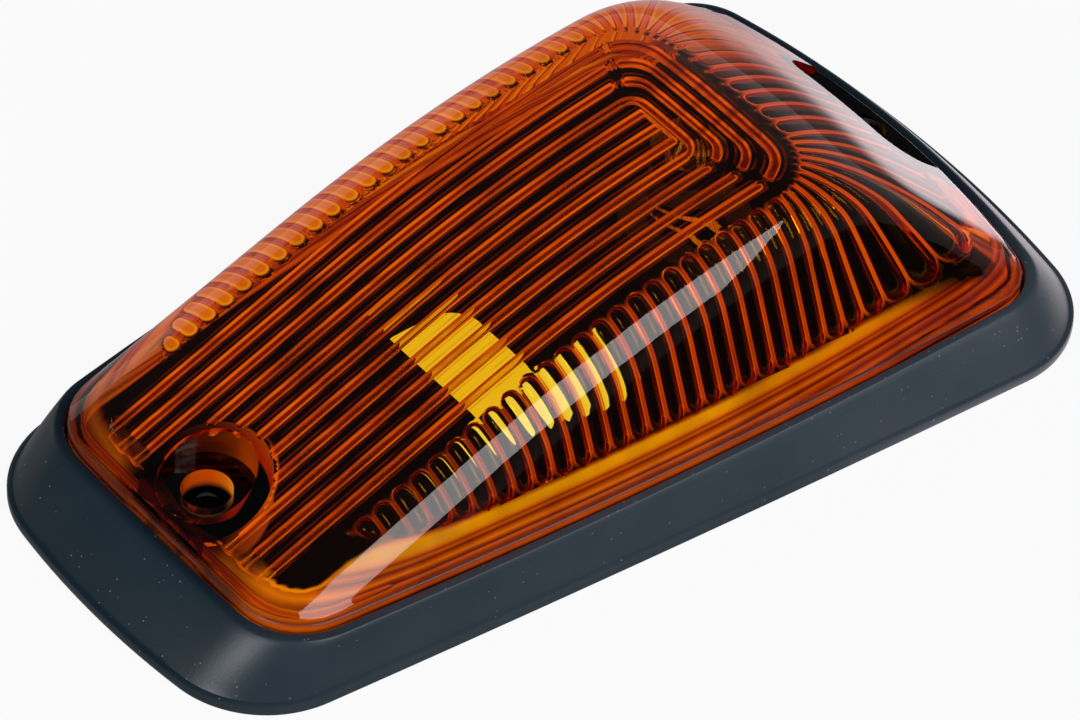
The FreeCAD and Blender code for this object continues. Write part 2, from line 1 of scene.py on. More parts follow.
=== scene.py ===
# %% [markdown]
# This lesson builds a roof marker light: a clear amber moulding that sits in a black rubber
# pad, with a small bulb in a holder behind it. The solids of the part come from a CAD program
# and arrive here as the frame. Blender adds what those solids leave out: fine flute ends, soft
# edges, and finishes that behave like plastic, rubber, brass and glass. The frame is loaded
# first, so that every new piece can be laid over the solid that it stands for.

# %% Load the frame
import math

import bmesh
import bpy
import numpy as np
from mathutils import Matrix, Vector


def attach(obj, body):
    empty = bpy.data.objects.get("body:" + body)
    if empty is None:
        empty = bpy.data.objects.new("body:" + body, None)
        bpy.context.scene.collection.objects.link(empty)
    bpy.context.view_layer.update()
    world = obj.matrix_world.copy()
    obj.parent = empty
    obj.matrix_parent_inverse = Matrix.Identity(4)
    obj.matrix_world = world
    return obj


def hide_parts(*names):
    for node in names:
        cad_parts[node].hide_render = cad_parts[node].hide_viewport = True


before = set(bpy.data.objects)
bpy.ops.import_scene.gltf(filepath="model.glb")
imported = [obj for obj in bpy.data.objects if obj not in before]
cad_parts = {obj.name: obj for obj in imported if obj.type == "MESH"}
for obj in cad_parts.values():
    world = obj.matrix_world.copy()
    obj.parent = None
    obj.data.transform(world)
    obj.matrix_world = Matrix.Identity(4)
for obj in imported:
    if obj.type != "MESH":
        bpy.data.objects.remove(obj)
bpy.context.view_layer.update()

MM = 0.001

# %% [markdown]
# Seen from above, both the lens and the pad are four bowed sides with round corners. Such a
# curve could be drawn by hand with a Bezier tool, but then no corner would be truly tangent.
# Here it is worked out: a side is an arc given by its chord and its bow, and a corner is an arc
# that touches two sides. Growing the plan gives a parallel outline, and the flange, the seat
# and the hollow all need one. All sizes in this lesson are in mm until they enter a mesh.

# %% Outlines
LENS_PLAN = {"front": 58.6, "rear": 57, "front_half": 24.1, "rear_half": 34.5, "bows": (0.5, 1.9, 5),
             "corners": (9.3, 7.5)}
STEPS = 40


def circle_meet(hub_a, reach_a, hub_b, reach_b, near):
    """Of the two points at given reaches from two hubs, the one nearer to a point."""
    span = hub_b - hub_a
    long = np.hypot(*span)
    along = (long ** 2 + reach_a ** 2 - reach_b ** 2) / (2 * long)
    off = math.sqrt(reach_a ** 2 - along ** 2)
    unit = span / long
    side = np.array([-unit[1], unit[0]])
    found = [hub_a + unit * along + side * off, hub_a + unit * along - side * off]
    return min(found, key=lambda point: np.hypot(*(point - near)))


def rounded_outline(plan, grow, steps):
    """Closed plan curve (N, 2): four bowed sides joined by tangent corner arcs.

    A side with chord c and bow b lies on a circle of radius (c^2/4 + b^2) / 2b. Each corner
    arc touches both its sides, so its centre lies at their radii less its own from both hubs.
    """
    front, rear = plan["front"] + grow, plan["rear"] + grow
    half_f, half_r = plan["front_half"] + grow, plan["rear_half"] + grow
    bow_f, bow_s, bow_r = plan["bows"]
    run = math.hypot(half_r - half_f, front + rear)
    rad_f, rad_s, rad_r = [(c * c / 4 + b * b) / (2 * b) for c, b in
                           ((2 * half_f, bow_f), (run, bow_s), (2 * half_r, bow_r))]
    side = np.array([(half_f + half_r) / 2 - (rad_s - bow_s) * (front + rear) / run,
                     (rear - front) / 2 + (rad_s - bow_s) * (half_r - half_f) / run])
    flip = np.array([-1, 1])
    hubs = [np.array([0, rad_f - front - bow_f]), side, np.array([0, rear + bow_r - rad_r]), side * flip]
    radii = [rad_f, rad_s, rad_r, rad_s]
    tips = [np.array([half_f, -front]), np.array([half_r, rear])]
    tips += [tips[1] * flip, tips[0] * flip]
    corner_f, corner_r = plan["corners"][0] + grow, plan["corners"][1] + grow
    turns = [corner_f, corner_r, corner_r, corner_f]
    after = [1, 2, 3, 0]
    centres = [circle_meet(hubs[i], radii[i] - turns[i], hubs[after[i]], radii[after[i]] - turns[i], tips[i])
               for i in range(4)]
    parts = []
    for i in range(4):
        leaves = centres[i] - hubs[i]
        side_arc = (hubs[i], radii[i], centres[i - 1] - hubs[i], leaves)
        corner_arc = (centres[i], turns[i], leaves, centres[i] - hubs[after[i]])
        for hub, radius, first, last in (side_arc, corner_arc):
            start, stop = [math.atan2(v[1], v[0]) for v in (first, last)]
            angle = np.linspace(start, stop if stop > start else stop + 2 * math.pi, steps, endpoint=False)
            parts.append(hub + radius * np.stack([np.cos(angle), np.sin(angle)], 1))
    return np.concatenate(parts)


lens_edge = rounded_outline(LENS_PLAN, 0, STEPS)
print("lens outline:", len(lens_edge), "points, mm", np.round(np.ptp(lens_edge, axis=0), 2))

# %% [markdown]
# The outside of the lens is one smooth skin. Across, it has a crowned deck, a round shoulder
# and a wall that leans in, so that the moulding comes out of its tool. Along, it is level at the
# rear and bends down to the front, and a sloping rear face cuts it off. One could push the
# points of a subdivided cube about until it looks right. A height that is a formula of x and y
# is exact instead, and the same formula moved inward gives the inside of the wall.

# %% Lens skin
LENS_TOP = 33.6
DECK_HALF = 17.5
CROWN = 173
SHOULDER = 10
DRAFT = math.radians(22.6)
FRONT_SLOPE = math.radians(19)
BEND = 174
LEVEL_FROM = 34.6
REAR_SLOPE = math.radians(42)
REAR_BLEND = 9
SEAT = 6.4
REAR_FOOT = SEAT + 3
TAPER = 0.018


def section(x, inset):
    """Drop of the lens below its top across x: crowned deck, round shoulder, drafted wall.

    Crown circle CROWN about the middle, shoulder circle SHOULDER tangent to it at DECK_HALF,
    then a straight wall at DRAFT from upright. An inset moves all three inward.
    """
    turn = math.asin(DECK_HALF / CROWN)
    hub_x = (CROWN - SHOULDER) * math.sin(turn)
    hub_z = (CROWN - SHOULDER) * math.cos(turn) - CROWN
    ring = SHOULDER - inset
    wall_x = hub_x + ring * math.cos(DRAFT)
    wall_z = hub_z + ring * math.sin(DRAFT)
    edge = (CROWN - inset) * math.sin(turn)
    x = np.abs(x)
    crown = np.sqrt((CROWN - inset) ** 2 - np.minimum(x, edge) ** 2) - CROWN
    bend = hub_z + np.sqrt(np.maximum(ring ** 2 - np.clip(x - hub_x, 0, ring) ** 2, 0))
    wall = wall_z - (x - wall_x) / math.tan(DRAFT)
    return np.where(x <= edge, crown, np.where(x <= wall_x, bend, wall))


def soft_min(a, b, width):
    """Lower of two heights, rounded where they cross: min(a, b) - (w - |a - b|)^2 / 4w."""
    near = np.clip(width - np.abs(a - b), 0, None)
    return np.minimum(a, b) - near ** 2 / (4 * width)


def soft_max(a, b, width):
    """Higher of two heights, rounded where they cross."""
    return -soft_min(-a, -b, width)


def skin_height(x, y, inset, rear_inset):
    """Height of the lens skin, or of the skin moved inward.

    The section rides along the deck line: level, then a circle of radius BEND, then straight
    down the front slope. A cone about the centre of the rear bow cuts it, blended softly.
    """
    drop = section(np.maximum(np.abs(x) + TAPER * y * np.clip(np.abs(x) / DECK_HALF, 0, 1), 0), inset)
    low = LENS_TOP - BEND
    reach = BEND + drop
    back = LEVEL_FROM - y
    turned = low + np.sqrt(np.maximum(reach ** 2 - np.clip(back, 0, None) ** 2, 1))
    slope = low + reach / math.cos(FRONT_SLOPE) - back * math.tan(FRONT_SLOPE)
    ride = np.where(back <= 0, low + reach, np.where(back < reach * math.sin(FRONT_SLOPE), turned, slope))
    bow = LENS_PLAN["bows"][2]
    radius = (LENS_PLAN["rear_half"] ** 2 + bow ** 2) / (2 * bow)
    hub_y = LENS_PLAN["rear"] + bow - radius
    foot = radius - rear_inset / math.sin(REAR_SLOPE)
    cone = REAR_FOOT + (foot - np.hypot(x, y - hub_y)) * math.tan(REAR_SLOPE)
    return soft_min(ride, cone, REAR_BLEND)


middle_line = np.array([-50.0, 0.0, 30.0, 50.0])
print("deck heights along the middle, mm:", np.round(skin_height(0 * middle_line, middle_line, 0, 0), 2))

# %% [markdown]
# A grid has to lie along the ribs and across the flutes, or both would come out ragged. So the
# points lie on nested loops, like the rings of a tree. Inside the ribbed field each loop runs
# along a rib, and outside it every column runs straight out to the edge of the lens. Only the
# right half is worked out, and the left half is its mirror image.

# %% Nested loops
FIELD_FRONT = -55.6
FIELD_REAR = 31.6
FIELD_CORNER = 7
FRONT_CORNER = 5
FLUTE_FRONT = -49
RIB_PITCH = 3.09
BAR_HALF = 2 * RIB_PITCH
REAR_TURN = 4
FRONT_RISE = 0.03
# five loops from the middle line to the field's edge: offset, rear end and rear corner of each
LOOP_OFFSETS = (-DECK_HALF, BAR_HALF - DECK_HALF - 0.8, BAR_HALF - DECK_HALF, -2.05, 0)
LOOP_REARS = (20.1, 20.6, 21.5, 29.0, FIELD_REAR)
LOOP_CORNERS = (0, 0.3, 2.6, 5.2, FIELD_CORNER)


def half_columns(front, front_turn, plain, side, rear_turn, rear):
    """Right half's columns as (stretch, share) pairs, from the middle of the front to the rear's."""
    counts = (front, front_turn, plain, side, rear_turn, rear)
    stretch = np.repeat(np.arange(len(counts)), counts)
    share = np.concatenate([np.arange(n) / n for n in counts])
    return np.append(stretch, len(counts) - 1), np.append(share, 1.0)


def normals(columns):
    """Outward normal of the field's edge at each column."""
    stretch, share = columns
    quarter = np.pi / 2
    angle = np.choose(stretch, [-quarter + 0 * share, (share - 1) * quarter, 0 * share, 0 * share,
                                share * quarter, quarter + 0 * share])
    return np.stack([np.cos(angle), np.sin(angle)], -1)


def loops(columns, offsets, reach=None):
    """Plan of nested loops (R, C, 2) for offsets from the edge of the ribbed field.

    Inside the field (offset <= 0) a loop is a rounded rectangle whose half width is DECK_HALF
    plus the offset. Outside it, each column runs straight out along the edge's normal, and
    an offset is a share of the reach of that column.
    """
    stretch, share = columns
    d = np.minimum(np.asarray(offsets, float), 0)[:, None]
    half = DECK_HALF + d
    rear = np.interp(d, LOOP_OFFSETS, LOOP_REARS)
    turn_r = np.minimum(np.interp(d, LOOP_OFFSETS, LOOP_CORNERS), half)
    front = FIELD_FRONT - d * FRONT_RISE
    turn_f = np.minimum(np.interp(d, (-DECK_HALF, -2.5, 0), (0, 0.3, FRONT_CORNER)), half)
    low, high = front + turn_f, rear - turn_r
    s = share[None, :]
    quarter = np.pi / 2
    zero = 0 * (half + s)
    angle_f, angle_r = (s - 1) * quarter, s * quarter
    xs = [s * (half - turn_f), half - turn_f + turn_f * np.cos(angle_f), half + zero, half + zero,
          half - turn_r + turn_r * np.cos(angle_r), (1 - s) * (half - turn_r)]
    ys = [front + zero, low + turn_f * np.sin(angle_f), low + (FLUTE_FRONT - low) * s,
          FLUTE_FRONT + (high - FLUTE_FRONT) * s, high + turn_r * np.sin(angle_r), rear + zero]
    pick = stretch[None, :]
    plan = np.stack([np.choose(pick, [v + zero for v in xs]), np.choose(pick, [v + zero for v in ys])], -1)
    if reach is not None:
        out = np.maximum(np.asarray(offsets, float), 0)[:, None, None]
        plan = plan + normals(columns)[None] * reach[None, :, None] * out
    return plan


def reach_to(columns, outline):
    """Distance along each column's normal from the field's edge to a closed outline.

    A ray p + t n meets a segment a + k b where t = cross(a - p, b) / cross(n, b).
    """
    start = loops(columns, [0.0])[0][:, None]
    ray = normals(columns)[:, None]
    a = outline[None]
    b = np.roll(outline, -1, 0)[None] - a
    cross = lambda u, v: u[..., 0] * v[..., 1] - u[..., 1] * v[..., 0]
    with np.errstate(divide="ignore", invalid="ignore"):
        t = cross(a - start, b) / cross(ray, b)
        k = cross(a - start, ray) / cross(ray, b)
    t = np.where((k >= -1e-9) & (k <= 1 + 1e-9) & (t > 0), t, np.inf)
    return t.min(1)


def whole(half):
    """Full loops from the right half's columns: the left half is its mirror image in reverse."""
    left = half[:, -2:0:-1].copy()
    left[..., 0] *= -1 if half.shape[-1] > 1 else 1
    return np.concatenate([half, left], 1)


outer_columns = half_columns(10, 10, 3, 70, 27, 12)
outer_reach = reach_to(outer_columns, lens_edge)
print("columns of the outside:", 2 * len(outer_reach) - 2, "longest reach in mm", round(outer_reach.max(), 2))

# %% [markdown]
# Blender wants points and faces. A grid whose columns close into loops needs no list of faces
# made by hand: every face joins a row and a column to the next ones. Points that fall on one
# another are merged, which closes the surface along its middle line. A measure, such as the
# distance from a rib, can ride on the points, and a finish can read it later.

# %% Grid to mesh


def keep_measure(mesh, key, domain, value):
    """Numbers kept on a mesh under a name, one for each point or each face."""
    mesh.attributes.new(key, "FLOAT", domain).data.foreach_set("value", value.ravel().astype(np.float32))


def grid_mesh(name, points, measures=None):
    """Mesh of an (R, C, 3) array in mm: columns close into loops, rows run from pole to pole.

    Row r, column c is joined to the next row and the next column. Points that fall on one
    another, as at a pole or along a middle line, are merged, which closes the surface there.
    """
    rows, columns = points.shape[:2]
    index = np.arange(rows * columns).reshape(rows, columns)
    upper, lower = index[1:], index[:-1]
    quads = np.stack([lower, np.roll(lower, -1, 1), np.roll(upper, -1, 1), upper], -1)
    mesh = bpy.data.meshes.new(name)
    mesh.from_pydata((points.reshape(-1, 3) * MM).tolist(), [], quads.reshape(-1, 4).tolist())
    for key, value in (measures or {}).items():
        keep_measure(mesh, key, "POINT", value)
    weld = bmesh.new()
    weld.from_mesh(mesh)
    bmesh.ops.remove_doubles(weld, verts=weld.verts, dist=1e-7)
    bmesh.ops.dissolve_degenerate(weld, edges=weld.edges, dist=1e-8)
    bmesh.ops.recalc_face_normals(weld, faces=weld.faces)
    weld.to_mesh(mesh)
    weld.free()
    print(name, "is a grid of", rows, "by", columns, "with", len(mesh.polygons), "faces")
    return mesh


def at_height(plan, z):
    """Plan points (N, 2) lifted to one height."""
    return np.concatenate([plan, np.full((len(plan), 1), z)], -1)


# %% [markdown]
# The outside of the moulding is the skin down to a flange with a rounded edge, and a flat foot
# below. It could be a shell with a Solidify modifier, but the inside of a real lens isn't
# parallel to the outside. So the outside is made as one full solid, and a second solid, the
# hollow, is taken out of it later. That is also how the two halves of a moulding tool work.

# %% Lens outside
FLANGE_TOP = 9.0
FLANGE_ROUND = 0.5
FLANGE_BLEND = 1.6


def lens_outside():
    """Outer form of the lens: deck, shoulders, walls, flange with a rounded edge, flat foot."""
    inside = np.linspace(-DECK_HALF, 0, 15)
    beyond = np.concatenate([np.linspace(0, 0.86, 26)[1:], [0.9, 0.93, 0.955]])
    plan = loops(outer_columns, np.concatenate([inside, beyond]), outer_reach)
    skin = skin_height(plan[..., 0], plan[..., 1], 0, 0)
    rows = [np.concatenate([plan, soft_max(skin, FLANGE_TOP + 0 * skin, FLANGE_BLEND)[..., None]], -1)]
    edge = loops(outer_columns, [1.0], outer_reach)[0]
    into = -normals(outer_columns)
    for angle in np.linspace(0, np.pi / 2, 5):
        ring = edge + into * FLANGE_ROUND * (1 - math.sin(angle))
        rows.append(at_height(ring, FLANGE_TOP - FLANGE_ROUND * (1 - math.cos(angle)))[None])
    middle = loops(outer_columns, [-DECK_HALF])[0]
    rows += [at_height(edge, SEAT)[None], at_height(middle, SEAT)[None]]
    return grid_mesh("lens_outside", whole(np.concatenate(rows)))


lens = lens_outside()

# %% [markdown]
# Under the deck of the real lens hang six nested ribs, which spread the light sideways. They run
# to the front, turn round at the rear, and the outer ones are broken at their rear corners. A
# Bump map could fake them, but ribs this deep bend what is seen behind them, so they have to be
# geometry. Rows of points lie close together over a rib's flanks and wide apart between ribs.

# %% Ribs under the deck
WALL = 2.0
REAR_WALL = 2.2
RIBS = 6
RIB_WIDE = 1.1
RIB_DEEP = 0.75
BREAK_AT = 0.9
BREAK_HALF = 0.75
FLUTES_SIDE = 26
FLUTES_CORNER = 9
FLUTES_REAR_HALF = 3.5
FINE = 8
inner_columns = half_columns(10, 8, 3, FLUTES_SIDE * FINE, FLUTES_CORNER * FINE, int(FLUTES_REAR_HALF * FINE))
inner_reach = reach_to(inner_columns, rounded_outline(LENS_PLAN, -REAR_WALL, STEPS))


def rib_rows():
    """Offsets of the field's loops: close together over each rib's flanks, wide between ribs."""
    over = np.array([-1, -0.94, -0.76, -0.42, 0, 0.42, 0.76, 0.94, 1]) * RIB_WIDE / 2
    middles = np.arange(RIBS) * RIB_PITCH
    gap = np.array([0.34, 0.5, 0.66]) * RIB_PITCH
    places = np.concatenate([(middles[:, None] + over).ravel(), (middles[:, None] + gap).ravel()])
    places = places[(places >= 0) & (places < DECK_HALF - 0.3)]
    return np.append(np.unique(np.round(places, 4)), DECK_HALF) - DECK_HALF


def rib_ridges(plan, offsets):
    """Share of a rib's depth, mm across from the nearest rib, and share of a break, point by point.

    A ridge is sqrt(1 - t^4), where t is the distance from its middle in half widths: a flat top
    with round flanks. The outer ribs fade out and in again where their rear corners begin.
    """
    stretch = inner_columns[0]
    x, y = plan[..., 0], plan[..., 1]
    across = np.where((stretch < 2)[None, :], np.abs(x), DECK_HALF + np.minimum(offsets, 0)[:, None])
    nearest = np.clip(np.round(across / RIB_PITCH), 0, RIBS - 1) * RIB_PITCH
    off = np.abs(across - nearest) / (RIB_WIDE / 2)
    ridge = np.sqrt(np.clip(1 - off ** 4, 0, 1)) * (offsets <= 0)[:, None]
    run = np.zeros(x.shape)
    run[:, 1:] = np.cumsum(np.hypot(np.diff(x, axis=1), np.diff(y, axis=1)), axis=1)
    corner = run - run[:, np.argmax(stretch == REAR_TURN)][:, None]
    broken = np.exp(-((corner - BREAK_AT) / BREAK_HALF) ** 4) * (across > BAR_HALF + 1.2)
    return ridge * (1 - broken), across - nearest, broken


print("rows over the ribs:", len(rib_rows()))

# %% [markdown]
# The side walls carry flutes on their inside: round-ended scoops that run from the deck's edge
# to a line above the foot, and fan out round the rear corners. Each is the hollow that a round
# cutter leaves. One could cut them with a hundred Booleans. Here every column of the grid knows
# where it is across its flute, so one formula pushes the wall outward by the depth of the scoop.

# %% Flutes in the walls
FLUTE_DEEP = 0.7
FLUTE_LAND = 0.6
FLUTE_FLOOR = 13.4
FLUTE_START = 0.5
MARK = 10


def wall_lengths(base, first):
    """Length down each column from the field's edge, and the length at which it meets FLUTE_FLOOR."""
    length = np.zeros(base.shape[:2])
    length[first + 1:] = np.cumsum(np.linalg.norm(np.diff(base[first:], axis=0), axis=-1), axis=0)
    last = np.clip((base[first:, :, 2] > FLUTE_FLOOR).sum(0) - 1, 0, len(base) - first - 2)
    column = np.arange(base.shape[1])
    z0, z1 = base[first + last, column, 2], base[first + last + 1, column, 2]
    l0, l1 = length[first + last, column], length[first + last + 1, column]
    share = np.clip((z0 - FLUTE_FLOOR) / np.maximum(z0 - z1, 1e-6), 0, 1)
    return length, l0 + (l1 - l0) * share


def flute_scoops(base, offsets, first):
    """Share of a flute's depth, mm past its outline, side of its middle, share of its round end.

    A scoop is sqrt(1 - t^2), where t is the distance from the middle line of a slot with round
    ends, in half widths of the slot. Between two slots a land of FLUTE_LAND is left standing.
    """
    stretch, share = inner_columns
    length, end = wall_lengths(base, first)
    count = np.choose(stretch, [0, 0, 0, FLUTES_SIDE, FLUTES_CORNER, FLUTES_REAR_HALF])
    phase = (share * count) % 1 - 0.5
    pitch = np.linalg.norm(np.gradient(base, axis=1), axis=-1) * FINE
    half = np.maximum((pitch - FLUTE_LAND) / 2, 0.05)
    past = np.maximum(np.maximum(FLUTE_START + half - length, length - (end[None] - half)), 0)
    away = np.hypot(phase[None] * pitch, past) / half
    scoop = np.sqrt(np.clip(1 - away ** 2, 0, 1)) * (count > 0)[None] * (offsets > 0)[:, None]
    scoop = scoop * np.clip(half, 0, 1)
    past_outline = MARK + np.clip((away - 1) * half, -3, 3)
    outline = np.where((offsets[:, None] >= 0) & (count > 0)[None], past_outline, 0)
    return scoop, outline, np.sign(phase)[None], np.clip(past / half, 0, 1)


print("flutes:", 2 * (FLUTES_SIDE + FLUTES_CORNER) + int(2 * FLUTES_REAR_HALF))

# %% [markdown]
# The hollow is now the skin moved inward, with the ribs hanging into it and the flutes sunk out
# of it, and it reaches down past the foot so that the cut goes clean through. Its points keep
# four measures for the finish: rib (mm from a rib's middle), rim (mm past a flute's outline),
# lean (which side) and tip (the round end of a flute). Both distances are kept with MARK added,
# because a Boolean gives every new point the value 0.

# %% Lens hollow
HOLLOW_FOOT = -2.0


def outward(base):
    """Unit normal of a grid surface, turned upward: the cross product of its two directions."""
    face = np.cross(np.gradient(base, axis=1), np.gradient(base, axis=0))
    face = face / np.maximum(np.linalg.norm(face, axis=-1, keepdims=True), 1e-9)
    return face * np.sign(face[..., 2:3] + 1e-12)


def lens_hollow():
    """Hollow of the lens: ribs hang from its roof and round-ended flutes are sunk into its walls."""
    inside = rib_rows()
    offsets = np.concatenate([inside, np.linspace(0, 1, 34)[1:]])
    plan = loops(inner_columns, offsets, inner_reach)
    height = np.maximum(skin_height(plan[..., 0], plan[..., 1], WALL, REAR_WALL), SEAT - 1)
    base = np.concatenate([plan, height[..., None]], -1)
    ridge, across, broken = rib_ridges(plan, offsets)
    scoop, past_rim, side, tip = flute_scoops(base, offsets, len(inside) - 1)
    points = base + outward(base) * (scoop * FLUTE_DEEP)[..., None]
    points[..., 2] -= ridge * RIB_DEEP
    field = offsets[:, None] <= 0
    from_rib = np.where(field, MARK + np.abs(across) + broken * 0.9, 0)
    lean = np.where(field, np.sign(across), side)
    ends = np.zeros((2, plan.shape[1]))
    measures = {key: whole(np.concatenate([value, ends])[..., None])[..., 0] for key, value in
                (("rib", from_rib), ("rim", past_rim), ("lean", lean), ("tip", tip))}
    rows = [points, at_height(points[-1, :, :2], HOLLOW_FOOT)[None],
            at_height(loops(inner_columns, [-DECK_HALF])[0], HOLLOW_FOOT)[None]]
    return grid_mesh("lens_hollow", whole(np.concatenate(rows)), measures)


hollow = lens_hollow()

# %% [markdown]
# A screw goes through a round boss at the front, with a counterbore for its head, and another
# through a scooped pocket in the rear face. Holes are where a Boolean is the right tool: turned
# bars and a block with round corners are cut from the hollow first, which leaves walls standing,
# and then from the lens. The Manifold solver is quick and keeps closed meshes closed.

# %% Screw places
FRONT_SCREW = -51.6
REAR_SCREW = 57.4
SCREW_HOLE = 3.3
BOSS = 8.4
COUNTERBORE = 6.3
COUNTERBORE_FLOOR = 11.2
POCKET_HALF = 12.4
POCKET_FRONT = 52.6
POCKET_FLOOR = 9.6
POCKET_CORNER = 5
BELOW, ABOVE, BEYOND = -4, 40, 75


def carve(base, tool, operation):
    """Boolean of two closed meshes: DIFFERENCE, UNION or INTERSECT, made once and kept."""
    first = bpy.data.objects.new("carve_base", base)
    second = bpy.data.objects.new("carve_tool", tool)
    for item in (first, second):
        bpy.context.scene.collection.objects.link(item)
    step = first.modifiers.new("carve", "BOOLEAN")
    step.object = second
    step.operation = operation
    step.solver = "MANIFOLD"
    seen = first.evaluated_get(bpy.context.evaluated_depsgraph_get())
    made = bpy.data.meshes.new_from_object(seen)
    for item in (first, second):
        bpy.data.objects.remove(item)
    print("carve", operation, len(base.polygons), "and", len(tool.polygons), "faces ->", len(made.polygons))
    return made


def round_bar(name, y, profile, sides=64):
    """Turned solid about an upright axis at y: rows of (radius, height), ends closed on the axis."""
    profile = np.asarray(profile, float)
    angle = np.linspace(0, 2 * np.pi, sides, endpoint=False)
    ring = np.stack([np.cos(angle), np.sin(angle), 0 * angle], -1)
    lift = profile[:, None, 1:] * np.array([0, 0, 1]) + np.array([0, y, 0])
    return grid_mesh(name, profile[:, None, :1] * ring[None] + lift)


def plain_bar(name, y, radius, low, high, sides=64):
    """Turned solid with one radius."""
    return round_bar(name, y, [(0, low), (radius, low), (radius, high), (0, high)], sides)


def block(name, plan, low, high):
    """Upright block on a closed plan (N, 2), closed at the middle of its two ends."""
    hub = np.tile((plan.max(0) + plan.min(0)) / 2, (len(plan), 1))
    rows = [at_height(hub, low), at_height(plan, low), at_height(plan, high), at_height(hub, high)]
    return grid_mesh(name, np.stack(rows))


def pocket_block(name, grow, low):
    """Block of the rear pocket, or of the wall round it: round at the front and open to the rear."""
    half, front, turn = POCKET_HALF + grow, POCKET_FRONT - grow, POCKET_CORNER + grow
    quarter = np.linspace(0, np.pi / 2, 10)
    right = np.stack([half - turn + turn * np.sin(quarter), front + turn - turn * np.cos(quarter)], -1)
    right = np.concatenate([right, [[half, BEYOND]]])
    return block(name, np.concatenate([right, right[::-1] * np.array([-1, 1])]), low, ABOVE)


hollow = carve(hollow, plain_bar("boss", FRONT_SCREW, BOSS, BELOW, ABOVE, 96), "DIFFERENCE")
hollow = carve(hollow, pocket_block("pocket_wall", WALL, BELOW), "DIFFERENCE")
lens = carve(lens, hollow, "DIFFERENCE")
sink = [(0, 0), (SCREW_HOLE, 0), (SCREW_HOLE, COUNTERBORE_FLOOR), (COUNTERBORE, COUNTERBORE_FLOOR),
        (COUNTERBORE, ABOVE), (0, ABOVE)]
for cutter in (round_bar("sink", FRONT_SCREW, sink, 96), pocket_block("pocket", 0, POCKET_FLOOR),
               plain_bar("rear_hole", REAR_SCREW, SCREW_HOLE, 0, 20)):
    lens = carve(lens, cutter, "DIFFERENCE")

# %% [markdown]
# Clear plastic gleams at its edges, where light that was caught inside it comes out: at the foot,
# along the ribs and lands, and round the screw boss. Here that gleam is painted on as a glow, and
# the finish needs to know where those are.
# Separate materials would be the usual way, but a ray that enters plastic by one material and
# leaves by another stays tinted behind it. So the lens keeps one material, and each face keeps
# the number of its zone. The foot also keeps a height for its bands and a share of fading.

# %% Lens zones
FOOT_ZONE, RIB_ZONE, FLUTE_ZONE, BOSS_ZONE, HOLE_ZONE = 1, 2, 3, 4, 5
FOOT_DEEP = 5.2
FOOT_SOFT = 0.5
FOOT_FRONT = -46
FOOT_FRONT_TOP = 11.3
FOOT_REAR = 46
BESIDE_BOSS = 11
BESIDE_POCKET = POCKET_HALF + 3


def near_line(points, line):
    """For plan points (N, 2): distance to a closed line and the direction towards it."""
    a, b = line[None], (np.roll(line, -1, 0) - line)[None]
    best, away = [], []
    for part in np.array_split(points, max(1, len(points) // 8000)):
        p = part[:, None]
        share = np.clip(((p - a) * b).sum(-1) / (b * b).sum(-1), 0, 1)
        gap = a + b * share[..., None] - p
        size = np.hypot(gap[..., 0], gap[..., 1])
        pick = size.argmin(1)
        row = np.arange(len(part))
        best.append(size[row, pick])
        away.append(gap[row, pick] / np.maximum(size[row, pick], 1e-6)[:, None])
    return np.concatenate(best), np.concatenate(away)


def read_rows(items, key, width=1, kind=float):
    """Values of a mesh's points, faces or measures as an array, with so many to a row."""
    values = np.empty(len(items) * width, kind)
    items.foreach_get(key, values)
    return values.reshape(-1, width) if width > 1 else values


def foot_measures(mesh, line):
    """Keep the height of the foot's painted glow bands and their fading share on the points; return the
    share.
    """
    spots = read_rows(mesh.vertices, "co", 3) / MM
    inset = near_line(spots[:, :2], line)[0]
    x, y, z = spots.T
    band = z + np.where(z < SEAT + 0.1, np.minimum(inset - REAR_WALL, 0), 0)
    front = np.clip((FOOT_FRONT - y) / 4, 0, 1)
    fade = np.clip((FLUTE_FLOOR + 0.1 - z) / FOOT_SOFT, 0, 1)
    fade *= np.clip((FOOT_DEEP - FOOT_SOFT * front - inset) / FOOT_SOFT, 0, 1)
    fade *= 1 - front * np.clip((BESIDE_BOSS - np.abs(x)) / 3, 0, 1) * (z > SEAT + 0.5)
    fade *= np.clip(np.maximum(np.abs(x) - BESIDE_POCKET, FOOT_REAR - y), 0, 1)
    fade *= 1 - front * np.clip((z - FOOT_FRONT_TOP) / 0.4, 0, 1)
    keep_measure(mesh, "band", "POINT", band)
    keep_measure(mesh, "fade", "POINT", fade)
    return fade


